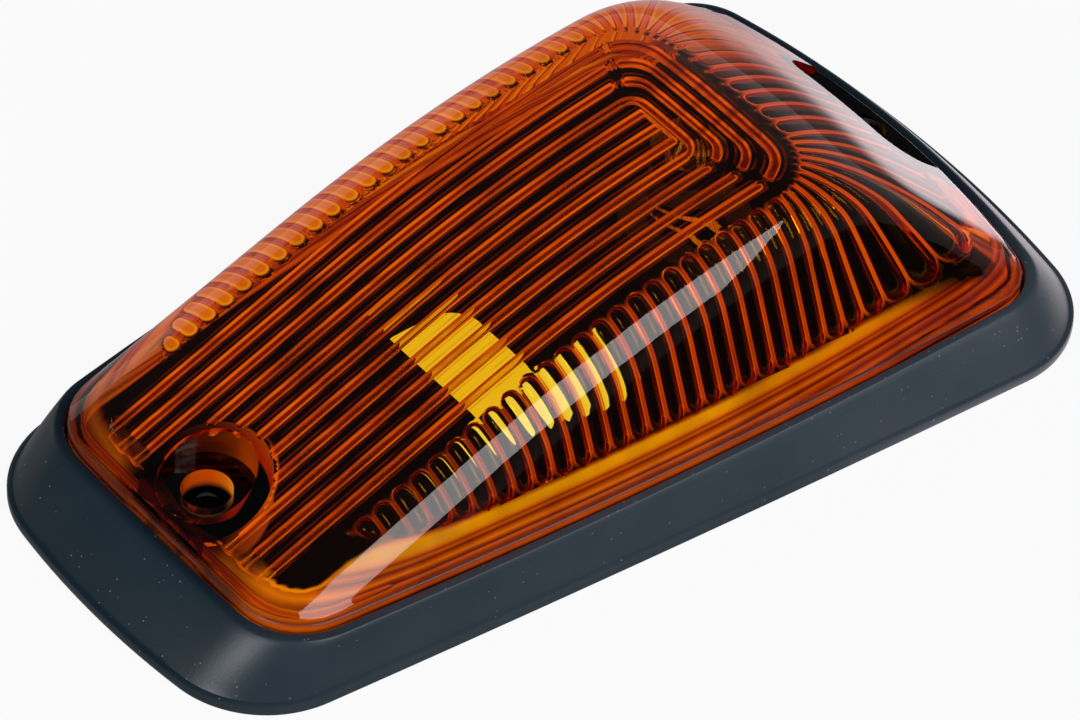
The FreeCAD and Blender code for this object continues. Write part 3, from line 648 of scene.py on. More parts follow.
def lens_zones(mesh):
    """Number each face by the zone of its painted glow, or 0 where the plastic is plain and clear."""
    line = rounded_outline(LENS_PLAN, 0, 10)
    fade = foot_measures(mesh, line)
    rib, rim = [read_rows(mesh.attributes[key].data, "value") for key in ("rib", "rim")]
    middle = read_rows(mesh.polygons, "center", 3) / MM
    facing = read_rows(mesh.polygons, "normal", 3)
    inset, away = near_line(middle[:, :2], line)
    z = middle[:, 2]
    # the foot's faces turn inward or down, and the rim below them lies flat on the seat
    inner = ((facing[:, :2] * away).sum(1) < 0.3) & (inset > 1.8) & (facing[:, 2] < 0.3)
    under = (z < SEAT + 0.1) & (facing[:, 2] < -0.8) & (inset < 2.6)
    arm = middle[:, :2] - np.array([0, FRONT_SCREW])
    radius = np.hypot(arm[:, 0], arm[:, 1])
    radial = (facing[:, :2] * arm).sum(1) / np.maximum(radius, 1e-6)
    wall = (np.abs(radius - BOSS) < 0.3) & (radial > 0.5)
    hole = (np.abs(radius - SCREW_HOLE) < 0.2) & (radial < -0.5)
    starts = read_rows(mesh.polygons, "loop_start", kind=np.int32)
    points = read_rows(mesh.loops, "vertex_index", kind=np.int32)
    least = lambda value: np.minimum.reduceat(value[points], starts)
    foot = (inner & (z < FLUTE_FLOOR) | under) & (np.maximum.reduceat(fade[points], starts) > 0.01)
    zone = np.select([wall, hole, foot, least(rib) > MARK - 1, least(rim) > MARK / 2],
                     [BOSS_ZONE, HOLE_ZONE, FOOT_ZONE, RIB_ZONE, FLUTE_ZONE], 0)
    keep_measure(mesh, "zone", "FACE", zone)
    print("lens faces in each zone:", np.bincount(zone))


lens_zones(lens)

# %% [markdown]
# A finish is a graph of nodes. Wiring Math nodes by hand soon gets hard to read, so one small
# class wraps a socket and lets + - * / make them: 1 - mask is then a node too. Every other kind
# of node comes from one method, `add`, which sets a node's own settings first and then the values
# or links of its sockets.

# %% Sums of sockets


class Sock:
    """A node's output that can be used in sums, with numbers or with other outputs."""

    def __init__(self, finish, socket):
        self.finish = finish
        self.socket = socket

    def _sum(self, operation, first, second):
        return self.finish.add("ShaderNodeMath", {"operation": operation}, {0: first, 1: second})

    def __add__(self, other):
        return self._sum("ADD", self, other)

    def __radd__(self, other):
        return self._sum("ADD", other, self)

    def __sub__(self, other):
        return self._sum("SUBTRACT", self, other)

    def __rsub__(self, other):
        return self._sum("SUBTRACT", other, self)

    def __mul__(self, other):
        return self._sum("MULTIPLY", self, other)

    def __rmul__(self, other):
        return self._sum("MULTIPLY", other, self)

    def __truediv__(self, other):
        return self._sum("DIVIDE", self, other)

    def least(self, other):
        """Lower of two values."""
        return self._sum("MINIMUM", self, other)

    def most(self, other):
        """Higher of two values."""
        return self._sum("MAXIMUM", self, other)

    def root(self):
        """Square root."""
        return self.finish.add("ShaderNodeMath", {"operation": "SQRT"}, {0: self})

    def equals(self, number):
        """1 where a value is a whole number and 0 where it is another."""
        return self.finish.add("ShaderNodeMath", {"operation": "COMPARE"}, {0: self, 1: number, 2: 0.4})

    def above(self, level, soft):
        """0 below a level and 1 above it, with a soft step between."""
        return self.finish.add("ShaderNodeMapRange", {"interpolation_type": "SMOOTHSTEP"},
                               {"Value": self, "From Min": level - soft, "From Max": level + soft})

    def within(self, low, high, soft):
        """1 between two levels and 0 elsewhere, with soft steps."""
        return self.above(low, soft) * (1 - self.above(high, soft))


class Finish:
    """A material or world whose nodes are made by add()."""

    def __init__(self, name, world=False):
        self.data = (bpy.data.worlds if world else bpy.data.materials).new(name)
        self.data.use_nodes = True
        self.tree = self.data.node_tree
        self.tree.nodes.clear()

    def add(self, kind, settings=None, inputs=None, output=0):
        """Node of a kind: its settings first, then the values or links of its sockets."""
        node = self.tree.nodes.new(kind)
        for key, value in (settings or {}).items():
            if key == "stops":
                while len(node.color_ramp.elements) < len(value):
                    node.color_ramp.elements.new(0.5)
                for stop, (place, colour) in zip(node.color_ramp.elements, value):
                    stop.position = place
                    stop.color = (*colour, 1)
            else:
                setattr(node, key, value)
        for key, value in (inputs or {}).items():
            if isinstance(value, Sock):
                self.tree.links.new(value.socket, node.inputs[key])
            else:
                node.inputs[key].default_value = value
        return Sock(self, node.outputs[output]) if len(node.outputs) else node

    def place(self):
        """Place on the piece, in metres."""
        return self.add("ShaderNodeTexCoord", output="Object")

    def axis(self, name):
        """One coordinate of the place on the piece, in mm."""
        return self.add("ShaderNodeSeparateXYZ", {}, {0: self.place()}, output=name) * 1000

    def noise(self, scale, detail=2):
        """Cloudy value from 0 to 1, with so many lumps to the metre."""
        return self.add("ShaderNodeTexNoise", {}, {"Vector": self.place(), "Scale": scale, "Detail": detail})

    def streaks(self, scale, stretch):
        """Noise drawn out along one or more axes by a stretch of (x, y, z) shares."""
        along = self.add("ShaderNodeVectorMath", {"operation": "MULTIPLY"}, {0: self.place(), 1: stretch})
        return self.add("ShaderNodeTexNoise", {}, {"Vector": along, "Scale": scale, "Roughness": 0.6})

    def measure(self, name):
        """Value that the mesh keeps at its points or faces under a name."""
        return self.add("ShaderNodeAttribute", {"attribute_name": name}, output="Fac")

    def specks(self, scale, size):
        """1 inside scattered dots and 0 outside; size is their share of a cell."""
        near = self.add("ShaderNodeTexVoronoi", {"feature": "F1"}, {"Vector": self.place(), "Scale": scale})
        return 1 - near.above(size, size * 0.3)

    def ramp(self, share, stops):
        """Colour from a row of (share, colour) stops."""
        return self.add("ShaderNodeValToRGB", {"stops": stops}, {0: share})

    def mix(self, share, first, second, blend="MIX"):
        """Colour between two colours."""
        settings = {"data_type": "RGBA", "blend_type": blend}
        return self.add("ShaderNodeMix", settings, {0: share, 6: first, 7: second}, output=2)

    def bump(self, height, depth, strength=1.0):
        """Normal tilted by a height given in shares of a depth in metres."""
        return self.add("ShaderNodeBump", {}, {"Height": height, "Distance": depth, "Strength": strength})

    def principled(self, **inputs):
        """Principled shader with its sockets given by name."""
        names = {key.replace("_", " ").title().replace("Ior", "IOR"): value for key, value in inputs.items()}
        return self.add("ShaderNodeBsdfPrincipled", {}, names)

    def glow(self, colour):
        """Surface that only gives out light of a colour."""
        return self.principled(base_color=(0, 0, 0, 1), roughness=1.0, specular_ior_level=0.0,
                               emission_color=colour, emission_strength=1.0)

    def blend(self, share, first, second):
        """Mixture of two shaders."""
        return self.add("ShaderNodeMixShader", {}, {0: share, 1: first, 2: second})

    def out(self, surface, volume=None):
        """Finished material or world."""
        links = {"Surface": surface} if volume is None else {"Surface": surface, "Volume": volume}
        self.add("ShaderNodeOutputWorld" if isinstance(self.data, bpy.types.World) else
                 "ShaderNodeOutputMaterial", {}, links)
        print("finish", self.data.name, "has", len(self.tree.nodes), "nodes")
        return self.data


# %% [markdown]
# Seen through the wall, the foot of the real lens is a stack of thin lines, from dark red to
# yellow, because each of its steps throws light out at another angle. A colour ramp over the
# height of the foot paints such lines on as a glow. The painted glow is warmest on the right and
# towards the front, where the light comes in, and a thin painted bright line closes the foot at
# the right front corner.

# %% Glow of the foot
BAND_LOW = 4.2
BAND_TALL = 9.2
FOOT_BANDS = [(0.00, (0.10, 0.01, 0.00)), (0.03, (0.75, 0.20, 0.01)), (0.06, (0.10, 0.01, 0.00)),
              (0.09, (0.60, 0.13, 0.01)), (0.13, (0.95, 0.42, 0.04)), (0.16, (0.85, 0.28, 0.02)),
              (0.19, (0.06, 0.01, 0.00)), (0.23, (0.05, 0.01, 0.00)), (0.27, (0.60, 0.14, 0.01)),
              (0.33, (0.85, 0.34, 0.02)), (0.37, (0.55, 0.11, 0.00)), (0.41, (0.22, 0.03, 0.00)),
              (0.46, (0.50, 0.09, 0.00)), (0.50, (0.72, 0.22, 0.01)), (0.53, (0.12, 0.01, 0.00)),
              (0.56, (0.40, 0.06, 0.00)), (0.60, (0.90, 0.36, 0.02)), (0.64, (0.62, 0.14, 0.00)),
              (0.68, (0.20, 0.03, 0.00)), (0.72, (0.75, 0.22, 0.01)), (0.75, (0.38, 0.06, 0.00)),
              (0.79, (0.95, 0.40, 0.02)), (0.83, (1.00, 0.66, 0.05)), (0.92, (1.00, 0.72, 0.06)),
              (0.96, (0.85, 0.30, 0.02)), (1.00, (0.30, 0.05, 0.00))]


def foot_painted_glow(f, x, y, uneven):
    """Share and colour of the painted glow on the foot, in bands over its height."""
    bands = f.ramp((f.measure("band") - BAND_LOW) / BAND_TALL, FOOT_BANDS)
    side = x.above(14, 12) * (1 - y.above(22, 30))
    front = (0 - y).above(48, 6)
    warm = f.mix(side * 0.75 + uneven * 0.5 + front * 0.5, (0.80, 0.34, 0.14, 1), (1, 1, 1, 1))
    colour = f.mix(1.0, bands, warm, "MULTIPLY")
    fade = f.measure("fade")
    # painted bright line along the foot at the right front corner
    right = x.above(15, 3)
    edge = fade.within(0.2, 0.9, 0.2) * front * right
    dull = 1 - front * (1 - right) * 0.65
    return (fade * (uneven * 0.7 + 0.4) + edge * 0.5) * dull, f.mix(edge, colour, (1.0, 0.50, 0.02, 1))


# %% [markdown]
# A rib is painted with a glow: two orange lines, its flanks, with a dark red core between. Moulded
# ribs are never quite even, so noise that is drawn out along them makes some painted lines bright
# and some faint. A land between two flutes is painted as a dark red bar with one bright edge. On
# the left wall, which the light reaches from behind, the scoops themselves get a painted glow.

# %% Glow of the ribs and flutes


def rib_painted_glow(f, x, y, along):
    """Share and colour of the painted glow on the ribs: an uneven line on each flank and a dark red core."""
    off = f.measure("rib") - MARK
    lean = f.measure("lean").above(0, 0.2)
    flank = off.within(0.34, 0.58, 0.09)
    core = off.above(-1, 0.1) * (1 - off.above(0.46, 0.1))
    faint = off.within(0.95, 1.20, 0.09)
    far = y - FRONT_SCREW
    round_boss = (x * x + far * far).root()
    # painted orange ring of light on the deck round the screw boss
    ring = round_boss.within(BOSS + 0.1, BOSS + 0.6, 0.2) * (x - far * 0.2).above(1, 4)
    vary = along.above(0.49, 0.17)
    bright = flank * (vary * 0.75 + lean * 0.25)
    colour = f.mix(bright, (0.34, 0.036, 0.001, 1), (1.0, 0.30, 0.02, 1))
    share = flank * (vary * 0.6 + lean * 0.35 + 0.12) + core * (vary * 0.45 + 0.2) + faint * vary * 0.4
    return share + ring * 0.8, f.mix(ring, colour, (1.0, 0.25, 0.015, 1))


def flute_painted_glow(f, x, y, z, uneven, along):
    """Share and colour of the painted glow on the flutes: bars on the lands, glints at the ends, lit scoops
    on the left.
    """
    off = f.measure("rim") - MARK
    lean = f.measure("lean").above(0, 0.25)
    tip = f.measure("tip")
    rear = y.above(26, 10)
    left = (0 - x).above(8, 8)
    line = off.within(-0.05, 0.11, 0.06)
    core = off.within(0.02, 0.44, 0.07) * (1 - tip)
    # painted glints at the flutes' round ends, and a painted glow over whole scoops on the left wall
    glint = line * tip * along.above(0.56, 0.08) * z.above(15, 1)
    full = (1 - off.above(-0.22, 0.16)) * off.above(-5, 1) * left * (uneven * 0.4 + 0.72)
    bright = core * (lean * line * 0.5 + rear * 0.3) + glint
    bar = f.mix(uneven, (0.42, 0.04, 0.0, 1), (0.80, 0.13, 0.004, 1))
    colour = f.mix(bright, bar, (1.0, 0.34, 0.02, 1))
    arc = along * 0.5 + off.above(-0.55, 0.25) * 0.6
    colour = f.mix(full, colour, f.mix(arc, (0.62, 0.11, 0.003, 1), (1.0, 0.52, 0.04, 1)))
    calm = 1 - (0 - y).above(20, 12) * 0.5
    share = line * (1 - tip) * (along * 0.6 + 0.1) + core * (uneven * 0.8 + rear * 0.3 + left * 0.1 + 0.15)
    return (share + glint) * calm + full, colour


# %% [markdown]
# The screw boss is a thick ring of plastic. Its outer wall gets a painted orange glow just below
# the deck, on the side away from the viewer, and the wall of the screw hole gets a painted
# crescent of light that turns from red to yellow. Both are soft steps over the place on the piece.

# %% Glow of the screw boss


def boss_painted_glow(f, x, y, z, uneven):
    """Share and colour of the painted glow on the boss's wall: orange just below the deck, on its far side.
    """
    far = ((y - FRONT_SCREW) * 0.09 + x * 0.02).above(0.15, 0.5)
    below_deck = (z - (y - FRONT_SCREW) * math.tan(FRONT_SLOPE)).within(6.6, 12.2, 0.5)
    colour = f.mix(far * (uneven * 0.9 + 0.2), (0.25, 0.02, 0.0, 1), (0.95, 0.24, 0.01, 1))
    return below_deck * far * (uneven * 0.6 + 0.4) * (x.above(0, 7) * 0.85 + 0.15), colour


def hole_painted_glow(f, x, y, z, uneven):
    """Share and colour of the painted glow on the screw hole's wall: a crescent from red to yellow on its far
    side.
    """
    far = ((y - FRONT_SCREW) * 0.18 - x * 0.12).above(0.1, 0.5)
    colour = f.mix((x + uneven * 4 - 2).above(0.5, 2.4), (0.55, 0.06, 0.0, 1), (1.0, 0.34, 0.02, 1))
    return far * z.above(8.8, 0.7) * (uneven * 0.5 + 0.5), colour


# %% [markdown]
# The amber itself is clear plastic. Painting it orange would make it look like candy: real tinted
# plastic is pale where it is thin and deep red where the light's way through it is long. Volume
# Absorption does just that, inside a surface that transmits everything. The gleam of the edges is
# painted on as a glow, mixed in by one Mix Shader for each zone, so that Cycles works out only the
# zone that a ray has hit. The painted glow lights nothing else, so Cycles needn't sample it as a lamp
# either.

# %% Amber plastic
ABSORB = (0.972, 0.85, 0.0, 1)
DENSITY = 2400
PLASTIC_IOR = 1.49
MOST_GLOW = 0.95


def amber_plastic():
    """Clear amber moulding: tinted by the way through it, with a painted glow at its edges."""
    f = Finish("amber_plastic")
    x, y, z = [f.axis(name) for name in "XYZ"]
    uneven = f.noise(150)
    along_rib = f.streaks(420, (1, 0.06, 1))
    along_land = f.streaks(420, (0.3, 1, 0.10))
    lights = {FOOT_ZONE: foot_painted_glow(f, x, y, uneven), RIB_ZONE: rib_painted_glow(f, x, y, along_rib),
              FLUTE_ZONE: flute_painted_glow(f, x, y, z, uneven, along_land),
              BOSS_ZONE: boss_painted_glow(f, x, y, z, uneven), HOLE_ZONE: hole_painted_glow(f, x, y, z, uneven)}
    flange_edge = z.within(8.2, 9.1, 0.1)
    clear = f.principled(base_color=(1, 1, 1, 1), transmission_weight=1.0, ior=PLASTIC_IOR,
                         roughness=uneven.above(0.66, 0.04) * 0.03 + flange_edge * 0.4,
                         normal=f.bump(f.noise(140, 1), 0.00004))
    zone = f.measure("zone")
    surface = clear
    # each zone mixes its painted glow into the clear plastic
    for number, (share, colour) in lights.items():
        lit = f.blend(share.least(MOST_GLOW), clear, f.glow(colour))
        surface = f.blend(zone.equals(number), surface, lit)
    depth = f.add("ShaderNodeVolumeAbsorption", {}, {"Color": ABSORB, "Density": DENSITY})
    made = f.out(surface, depth)
    made.cycles.emission_sampling = "NONE"
    return made


def piece(name, mesh, materials, node, crease=32):
    """Object at the origin with smooth faces, creased where they turn by more than an angle."""
    mesh.name = name
    mesh.materials.clear()
    for material in materials:
        mesh.materials.append(material)
    mesh.shade_smooth()
    mesh.set_sharp_from_angle(angle=math.radians(crease))
    made = bpy.data.objects.new(name, mesh)
    bpy.context.scene.collection.objects.link(made)
    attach(made, "root")
    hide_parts(node)
    print(name, "has", len(mesh.vertices), "points and", len(mesh.polygons), "faces")
    return made


piece("amber_lens", lens, [amber_plastic()], "lens")

# %% [markdown]
# The pad is moulded rubber: a thin lip on the roof, a skirt that swells a little on its way up, a
# collar round the lens, and a seat that the lens stands on. All of these are outlines at rising
# heights, so the pad is a loft: rows of outlines, from the middle of the underside, out over the
# lip, up and back in to the middle of the seat. Small steps between rows round every edge.

# %% Pad shape
PAD_PLAN = {"front": 66.3, "rear": 63.68, "front_half": 27.7, "rear_half": 42.4, "bows": (3, 0.7, 5.6),
            "corners": (15.2, 15.2)}
PAD_STEPS = 26
LIP_TALL = 1.6
LIP_STEP = 0.7
LIP_ROUND = 0.35
SKIRT_SWELL = 0.25
COLLAR_TALL = 1.8
COLLAR_WIDE = 1.3
SEAT_CLEARANCE = 0.3


def pad_body():
    """Rubber pad: rows of outlines from the underside out over the lip, up the skirt and into the seat.

    The skirt runs straight from lip to collar, plus a swell of sin(pi s) over its share s.
    """
    pad = lambda grow, z: at_height(rounded_outline(PAD_PLAN, grow, PAD_STEPS), z)
    around = lambda grow, z: at_height(rounded_outline(LENS_PLAN, grow, PAD_STEPS), z)
    collar = SEAT_CLEARANCE + COLLAR_WIDE
    top = SEAT + COLLAR_TALL
    flat = np.array([0, 0, 1])
    rows = [pad(0, 0) * flat, pad(-0.3, 0), pad(-0.08, 0.1), pad(0, LIP_ROUND), pad(0, LIP_TALL - LIP_ROUND),
            pad(-0.1, LIP_TALL - 0.1), pad(-LIP_ROUND, LIP_TALL), pad(-LIP_STEP, LIP_TALL + 0.05)]
    low, high = pad(-LIP_STEP, LIP_TALL), around(collar, top)
    for share in np.linspace(0.04, 0.96, 10):
        rows.append(low + (high - low) * share + flat * SKIRT_SWELL * math.sin(math.pi * share))
    rows += [around(collar - 0.12, top - 0.02), around(collar - 0.4, top), around(SEAT_CLEARANCE + 0.3, top),
             around(SEAT_CLEARANCE + 0.06, top - 0.12), around(SEAT_CLEARANCE, top - 0.4),
             around(SEAT_CLEARANCE, SEAT), around(0, SEAT) * flat]
    return grid_mesh("pad_body", np.stack(rows))


pad = pad_body()

# %% [markdown]
# Four holes go through the pad: a window for the wires, two screw holes and a stepped hole that
# the bulb holder twists into. They are cut like the holes in the lens.

# %% Pad holes
WINDOW_HALF = 14.6
WINDOW_FRONT = -14.7
WINDOW_REAR = 0.6
WINDOW_CORNER = 5
HOLDER_Y = 26
HOLDER_HOLE = 8.8
FLANGE_HOLE = 11.6
FLANGE_DEEP = 2.6
PAD_BELOW, PAD_ABOVE = -5, 15


def window_plan(sides=8):
    """Closed plan of the window: a rectangle with four round corners."""
    angle = np.linspace(0, 2 * np.pi, 4 * sides, endpoint=False) + np.pi / (4 * sides)
    ring = np.stack([np.cos(angle), np.sin(angle)], -1)
    half = np.array([WINDOW_HALF, (WINDOW_REAR - WINDOW_FRONT) / 2])
    middle = np.array([0, (WINDOW_FRONT + WINDOW_REAR) / 2])
    return middle + np.sign(ring) * (half - WINDOW_CORNER) + WINDOW_CORNER * ring


holder_steps = [(0, PAD_BELOW), (FLANGE_HOLE, PAD_BELOW), (FLANGE_HOLE, FLANGE_DEEP),
                (HOLDER_HOLE, FLANGE_DEEP), (HOLDER_HOLE, PAD_ABOVE), (0, PAD_ABOVE)]
for cutter in (block("window", window_plan(), PAD_BELOW, PAD_ABOVE),
               plain_bar("pad_hole_front", FRONT_SCREW, SCREW_HOLE, PAD_BELOW, PAD_ABOVE),
               plain_bar("pad_hole_rear", REAR_SCREW, SCREW_HOLE, PAD_BELOW, PAD_ABOVE),
               round_bar("holder_hole", HOLDER_Y, holder_steps)):
    pad = carve(pad, cutter, "DIFFERENCE")

# %% [markdown]
# Black rubber is never plain black: it has a blue cast, a fine grain and a little pale dust, and on its
# right side, where it faces the light, a cloudy painted sheen. Noise of three sizes and a Voronoi
# pattern for the dust give those. Under the lens the same rubber lies in the dark, so the faces there
# get a second, matt finish with the shade painted in, which keeps the ground behind the amber calm.

# %% Pad finishes
PAINTED_SHEEN = (0.048, 0.066, 0.086, 1)
DUST = (0.30, 0.33, 0.34, 1)


def pad_rubber():
    """Blue-black rubber with a fine grain, a cloudy painted sheen on its right side and pale dust."""
    f = Finish("pad_rubber")
    cloud = f.noise(60, 4)
    grain = f.noise(2600)
    dust = f.specks(900, 0.10) * f.noise(220).above(0.52, 0.05)
    base = f.mix(cloud, (0.003, 0.013, 0.023, 1), (0.005, 0.021, 0.035, 1))
    # painted sheen: the right side, which faces the key light, is lightened in cloudy patches
    base = f.mix(f.axis("X").above(24, 14) * (cloud * 0.6 + 0.5), base, PAINTED_SHEEN)
    surface = f.principled(base_color=f.mix(dust * 0.5, base, DUST), roughness=cloud * 0.12 + 0.33,
                           specular_ior_level=0.45, normal=f.bump(grain * 0.6 + dust * 0.8, 0.00004, 0.5))
    return f.out(surface)


def pad_inside():
    """Shaded inside of the pad under the lens: the same rubber with its shade painted in, unlit and matt."""
    f = Finish("pad_inside")
    cloud = f.noise(80, 3)
    return f.out(f.principled(base_color=f.mix(cloud, (0.003, 0.003, 0.003, 1), (0.007, 0.006, 0.005, 1)),
                              roughness=cloud * 0.1 + 0.8, specular_ior_level=0.05))


def inside_line(points, line):
    """True where plan points lie inside a closed line: odd number of crossings to the right."""
    a, b = line[None], np.roll(line, -1, 0)[None]
    y = points[:, None, 1]
    cross = (a[..., 1] > y) != (b[..., 1] > y)
    with np.errstate(divide="ignore", invalid="ignore"):
        at = a[..., 0] + (y - a[..., 1]) * (b[..., 0] - a[..., 0]) / (b[..., 1] - a[..., 1])
    return ((cross & (points[:, None, 0] < at)).sum(1) % 2) == 1


piece("rubber_pad", pad, [pad_rubber(), pad_inside()], "base_pad")
middle = read_rows(pad.polygons, "center", 3) / MM
# faces under the lens get the darker finish, whose shade is painted in
shaded = (middle[:, 2] > 0.5) & (middle[:, 2] < SEAT + 0.1)
shaded &= inside_line(middle[:, :2], rounded_outline(LENS_PLAN, 0.25, 10))
pad.polygons.foreach_set("material_index", shaded.astype(np.int32))
print("pad faces under the lens:", int(shaded.sum()), "of", len(shaded))

# %% [markdown]
# Behind the lens sit the bulb, its holder and two pairs of brass strips. Their solids are simple
# and true in the frame already, so they stay as they are and only get finishes: moulded plastic
# with a spark-eroded grain, rolled brass with lines and tarnish, and thin glass with a haze.

# %% Inner pieces


def holder_plastic():
    """Black moulded plastic with a fine spark-eroded grain."""
    f = Finish("holder_plastic")
    cloud, grain = f.noise(300, 3), f.noise(4000)
    return f.out(f.principled(base_color=f.mix(cloud, (0.010, 0.010, 0.011, 1), (0.022, 0.022, 0.024, 1)),
                              roughness=cloud * 0.2 + 0.45, normal=f.bump(grain, 0.00002, 0.6)))


def contact_brass():
    """Rolled brass strip: fine lines along the roll and a cloudy tarnish."""
    f = Finish("contact_brass")
    tarnish, lines = f.noise(350, 3), f.streaks(3000, (1, 0.05, 1))
    return f.out(f.principled(base_color=f.mix(tarnish, (0.55, 0.36, 0.11, 1), (0.35, 0.20, 0.06, 1)),
                              metallic=1.0, roughness=tarnish * 0.2 + lines * 0.1 + 0.2))


def bulb_glass():
    """Thin clear glass with a faint haze, brown where it has been hot."""
    f = Finish("bulb_glass")
    haze = f.noise(500, 3)
    return f.out(f.principled(base_color=f.mix(haze, (0.96, 0.95, 0.92, 1), (0.80, 0.76, 0.70, 1)),
                              transmission_weight=1.0, ior=1.45, roughness=haze * 0.04 + 0.01))


for name, finish in (("bulb_holder", holder_plastic()), ("contact_strips", contact_brass()),
                     ("bulb", bulb_glass())):
    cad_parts[name].data.materials.clear()
    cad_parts[name].data.materials.append(finish)
    print(name, "wears", finish.name)

# %% [markdown]
# The light stands on a plain pale floor. A glossy lens mirrors its surroundings, and in a studio
# those aren't an endless white floor. So the floor carries a painted reflection of them: bright just
# behind the lamp, grey to the left and dark to the right. Light Path nodes tell what kind of ray
# has hit the floor: the camera sees it pale with its soft shadow, a ray through the window sees it
# white, and mirror images see the painted reflection.

# %% Floor
FLOOR_SIZE = 6
SEEN_WHITE = 0.92
REFLECTION_DARK_RIGHT = (0.02, 0.02, 0.02, 1)
REFLECTION_GREY_LEFT = (0.34, 0.33, 0.34, 1)
REFLECTION_REAR_LEFT = (0.46, 0.42, 0.44, 1)
REFLECTION_BRIGHT_REAR = (1.90, 1.72, 1.80, 1)
REFLECTION_FAR_REAR = (0.16, 0.15, 0.16, 1)


def floor_finish():
    """Pale floor: white to the camera and through the lens, with a painted reflection in mirror images that
    is darker to the right.
    """
    f = Finish("floor")
    seen, through, mirrored = [f.add("ShaderNodeLightPath", output=name) for name in
                               ("Is Camera Ray", "Is Transmission Ray", "Is Glossy Ray")]
    x, y = f.axis("X"), f.axis("Y")
    under = through * x.within(-44, 44, 4) * y.within(-72, 72, 4)
    # painted reflection, seen only in mirror images and through the glass: bright behind the lamp, grey to
    # the left, dark to the right, dimmer far back
    rear = y.above(30, 20) * (1 - x.above(45, 25))
    reflection_near = f.mix((0 - x).above(-30, 40), REFLECTION_DARK_RIGHT, REFLECTION_GREY_LEFT)
    behind = f.mix(y.above(122, 46), f.mix(x.above(-24, 18), REFLECTION_REAR_LEFT, REFLECTION_BRIGHT_REAR), REFLECTION_FAR_REAR)
    plain = f.principled(base_color=(0.85, 0.85, 0.85, 1), roughness=0.8)
    direct = f.blend((seen * SEEN_WHITE + under).least(1.0), plain, f.glow((1, 1, 1, 1)))
    made = f.out(f.blend(mirrored.most(through) * (1 - under), direct, f.glow(f.mix(rear, reflection_near, behind))))
    made.cycles.emission_sampling = "NONE"
    return made


bpy.ops.mesh.primitive_plane_add(size=FLOOR_SIZE)
floor = bpy.context.object
floor.name = "floor"
floor.data.materials.append(floor_finish())

# %% [markdown]
# Round the table the studio is dim. The world gives a soft light that is brightest near the
# horizon and darker overhead and to the right, so that the dark amber keeps its depth.

# %% Studio round the table
DIM = (0.05, 0.05, 0.055, 1)
SKY = [(0.0, (0.45, 0.45, 0.46)), (0.15, (0.36, 0.36, 0.37)), (0.45, (0.12, 0.12, 0.13)),
       (0.75, (0.04, 0.04, 0.045))]


def studio():
    """World colour by direction: a ramp over its height, dimmed to the right."""
    f = Finish("studio", world=True)
    aim = f.add("ShaderNodeTexCoord", output="Generated")
    across, tall = [f.add("ShaderNodeSeparateXYZ", {}, {0: aim}, output=name) for name in "XZ"]
    colour = f.mix(across.above(0.35, 0.4) * 0.75, f.ramp(tall, SKY), DIM)
    return f.out(f.add("ShaderNodeBackground", {}, {"Color": colour, "Strength": 1.0}))


bpy.context.scene.world = studio()

# %% [markdown]
# The camera looks down on the front right corner through a long lens, as product photographers
# like it, because a long lens keeps the sides nearly parallel. It is given as a photographer
# would say it: the way round, the way up, a slight roll, the spot aimed at and the distance.

# %% Camera
AZIMUTH, ELEVATION, ROLL = (math.radians(v) for v in (47.75, 45.45, 3.47))
TARGET = np.array([5.728, -2.773, 8.269])
DISTANCE = 729.66
FOCAL = 191.44
SENSOR = 36
back = np.array([math.sin(AZIMUTH) * math.cos(ELEVATION), -math.cos(AZIMUTH) * math.cos(ELEVATION),
                 math.sin(ELEVATION)])
level = np.array([math.cos(AZIMUTH), math.sin(AZIMUTH), 0])
rise = np.cross(back, level)
right = level * math.cos(ROLL) + rise * math.sin(ROLL)
up = -level * math.sin(ROLL) + rise * math.cos(ROLL)


def stand(thing, spot, axes):
    """Put a camera or lamp in the scene at a spot in metres, with its x, y and z axes given."""
    turn = Matrix(np.stack(axes, 1).tolist()).to_4x4()
    made = bpy.data.objects.new(thing.name, thing)
    made.matrix_world = Matrix.Translation(Vector(spot)) @ turn
    bpy.context.scene.collection.objects.link(made)
    return made


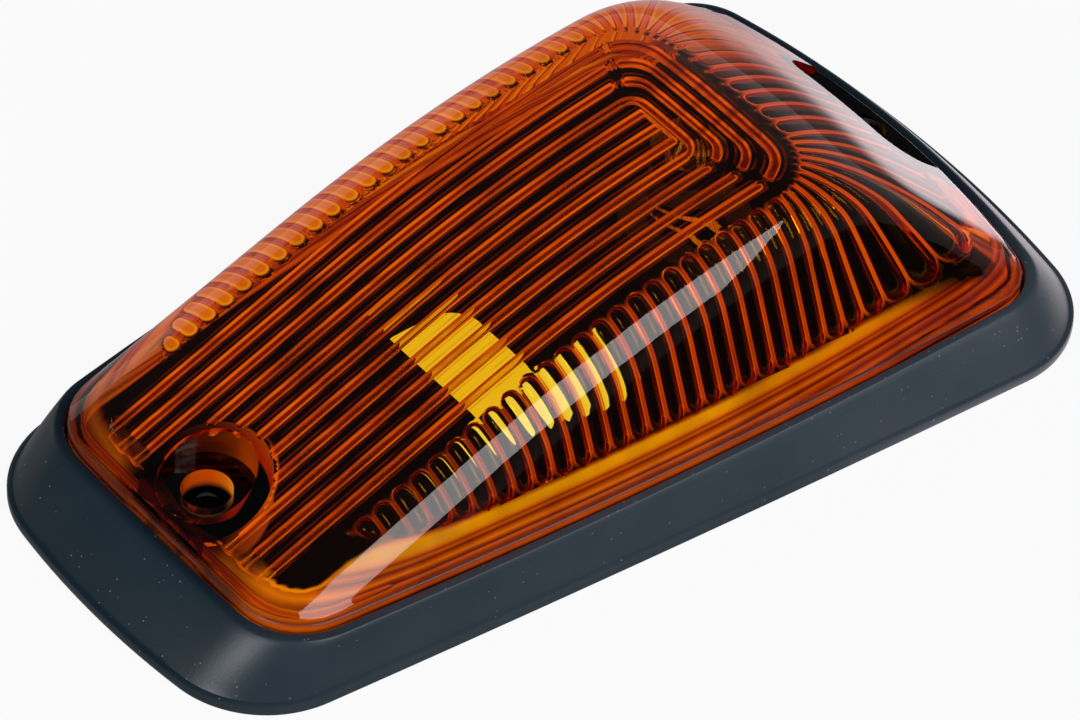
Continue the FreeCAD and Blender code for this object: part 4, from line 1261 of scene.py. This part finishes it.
view = bpy.data.cameras.new("camera")
view.sensor_width = SENSOR
view.sensor_fit = "HORIZONTAL"
view.lens = FOCAL
view.clip_end = 20
bpy.context.scene.camera = stand(view, (TARGET + back * DISTANCE) * MM, [right, up, back])
print("camera at", np.round((TARGET + back * DISTANCE) * MM, 3), "metres")

# %% [markdown]
# Three soft boxes light the lamp. The key stands to the right and leaves the long bright streak
# on the shoulder. A weak one to the left shapes the far wall, and a small one in front puts a
# soft gleam on the pad's corner. A box is given by a corner and two edges, because its mirror
# image in the lens has to fall in the right place, and by how bright it looks: the power of a
# lamp is its radiance times pi times its area.

# %% Lamps


def panel(name, corner, along, down, radiance):
    """Rectangular lamp from its top corner: edge vectors in metres, brightness as radiance."""
    corner, along, down = (np.array(v, float) for v in (corner, along, down))
    wide, tall = np.linalg.norm(along), np.linalg.norm(down)
    side = along / wide
    drop = down - side * (down @ side)
    drop = drop / np.linalg.norm(drop)
    face = np.cross(side, drop)
    middle = corner + along / 2 + down / 2
    if face @ middle > 0:
        side, face = -side, -face
    data = bpy.data.lights.new(name, "AREA")
    data.shape = "RECTANGLE"
    data.size, data.size_y = wide, tall
    data.energy = radiance * math.pi * wide * tall
    print(name, "watts", round(data.energy, 1))
    return stand(data, middle, [side, -drop, -face])


panel("key", (0.60, 0.44, 0.96), (-0.08, -0.71, 0.06), (0.44, 0.10, -0.46), 4.6)
panel("left", (-1.15, -0.55, 0.62), (0.05, 1.0, 0.0), (-0.12, 0.0, -0.5), 0.5)
panel("front", (-0.12, -1.05, 0.98), (0.36, 0.04, 0.0), (0.0, -0.2, -0.4), 12.5)

# %% [markdown]
# Light that enters the lens crosses many walls before it leaves, so Cycles is allowed more
# bounces through clear pieces than it needs off plain ones. Caustics, light that clear pieces
# throw onto plain ones, are left out: they take long and hardly show here.

# %% Size and finish
bpy.context.scene.view_settings.view_transform = "Standard"
cycles = bpy.context.scene.cycles
cycles.max_bounces = 11
cycles.transmission_bounces = 11
cycles.glossy_bounces = 6
cycles.diffuse_bounces = 2
cycles.caustics_reflective = False
cycles.caustics_refractive = False
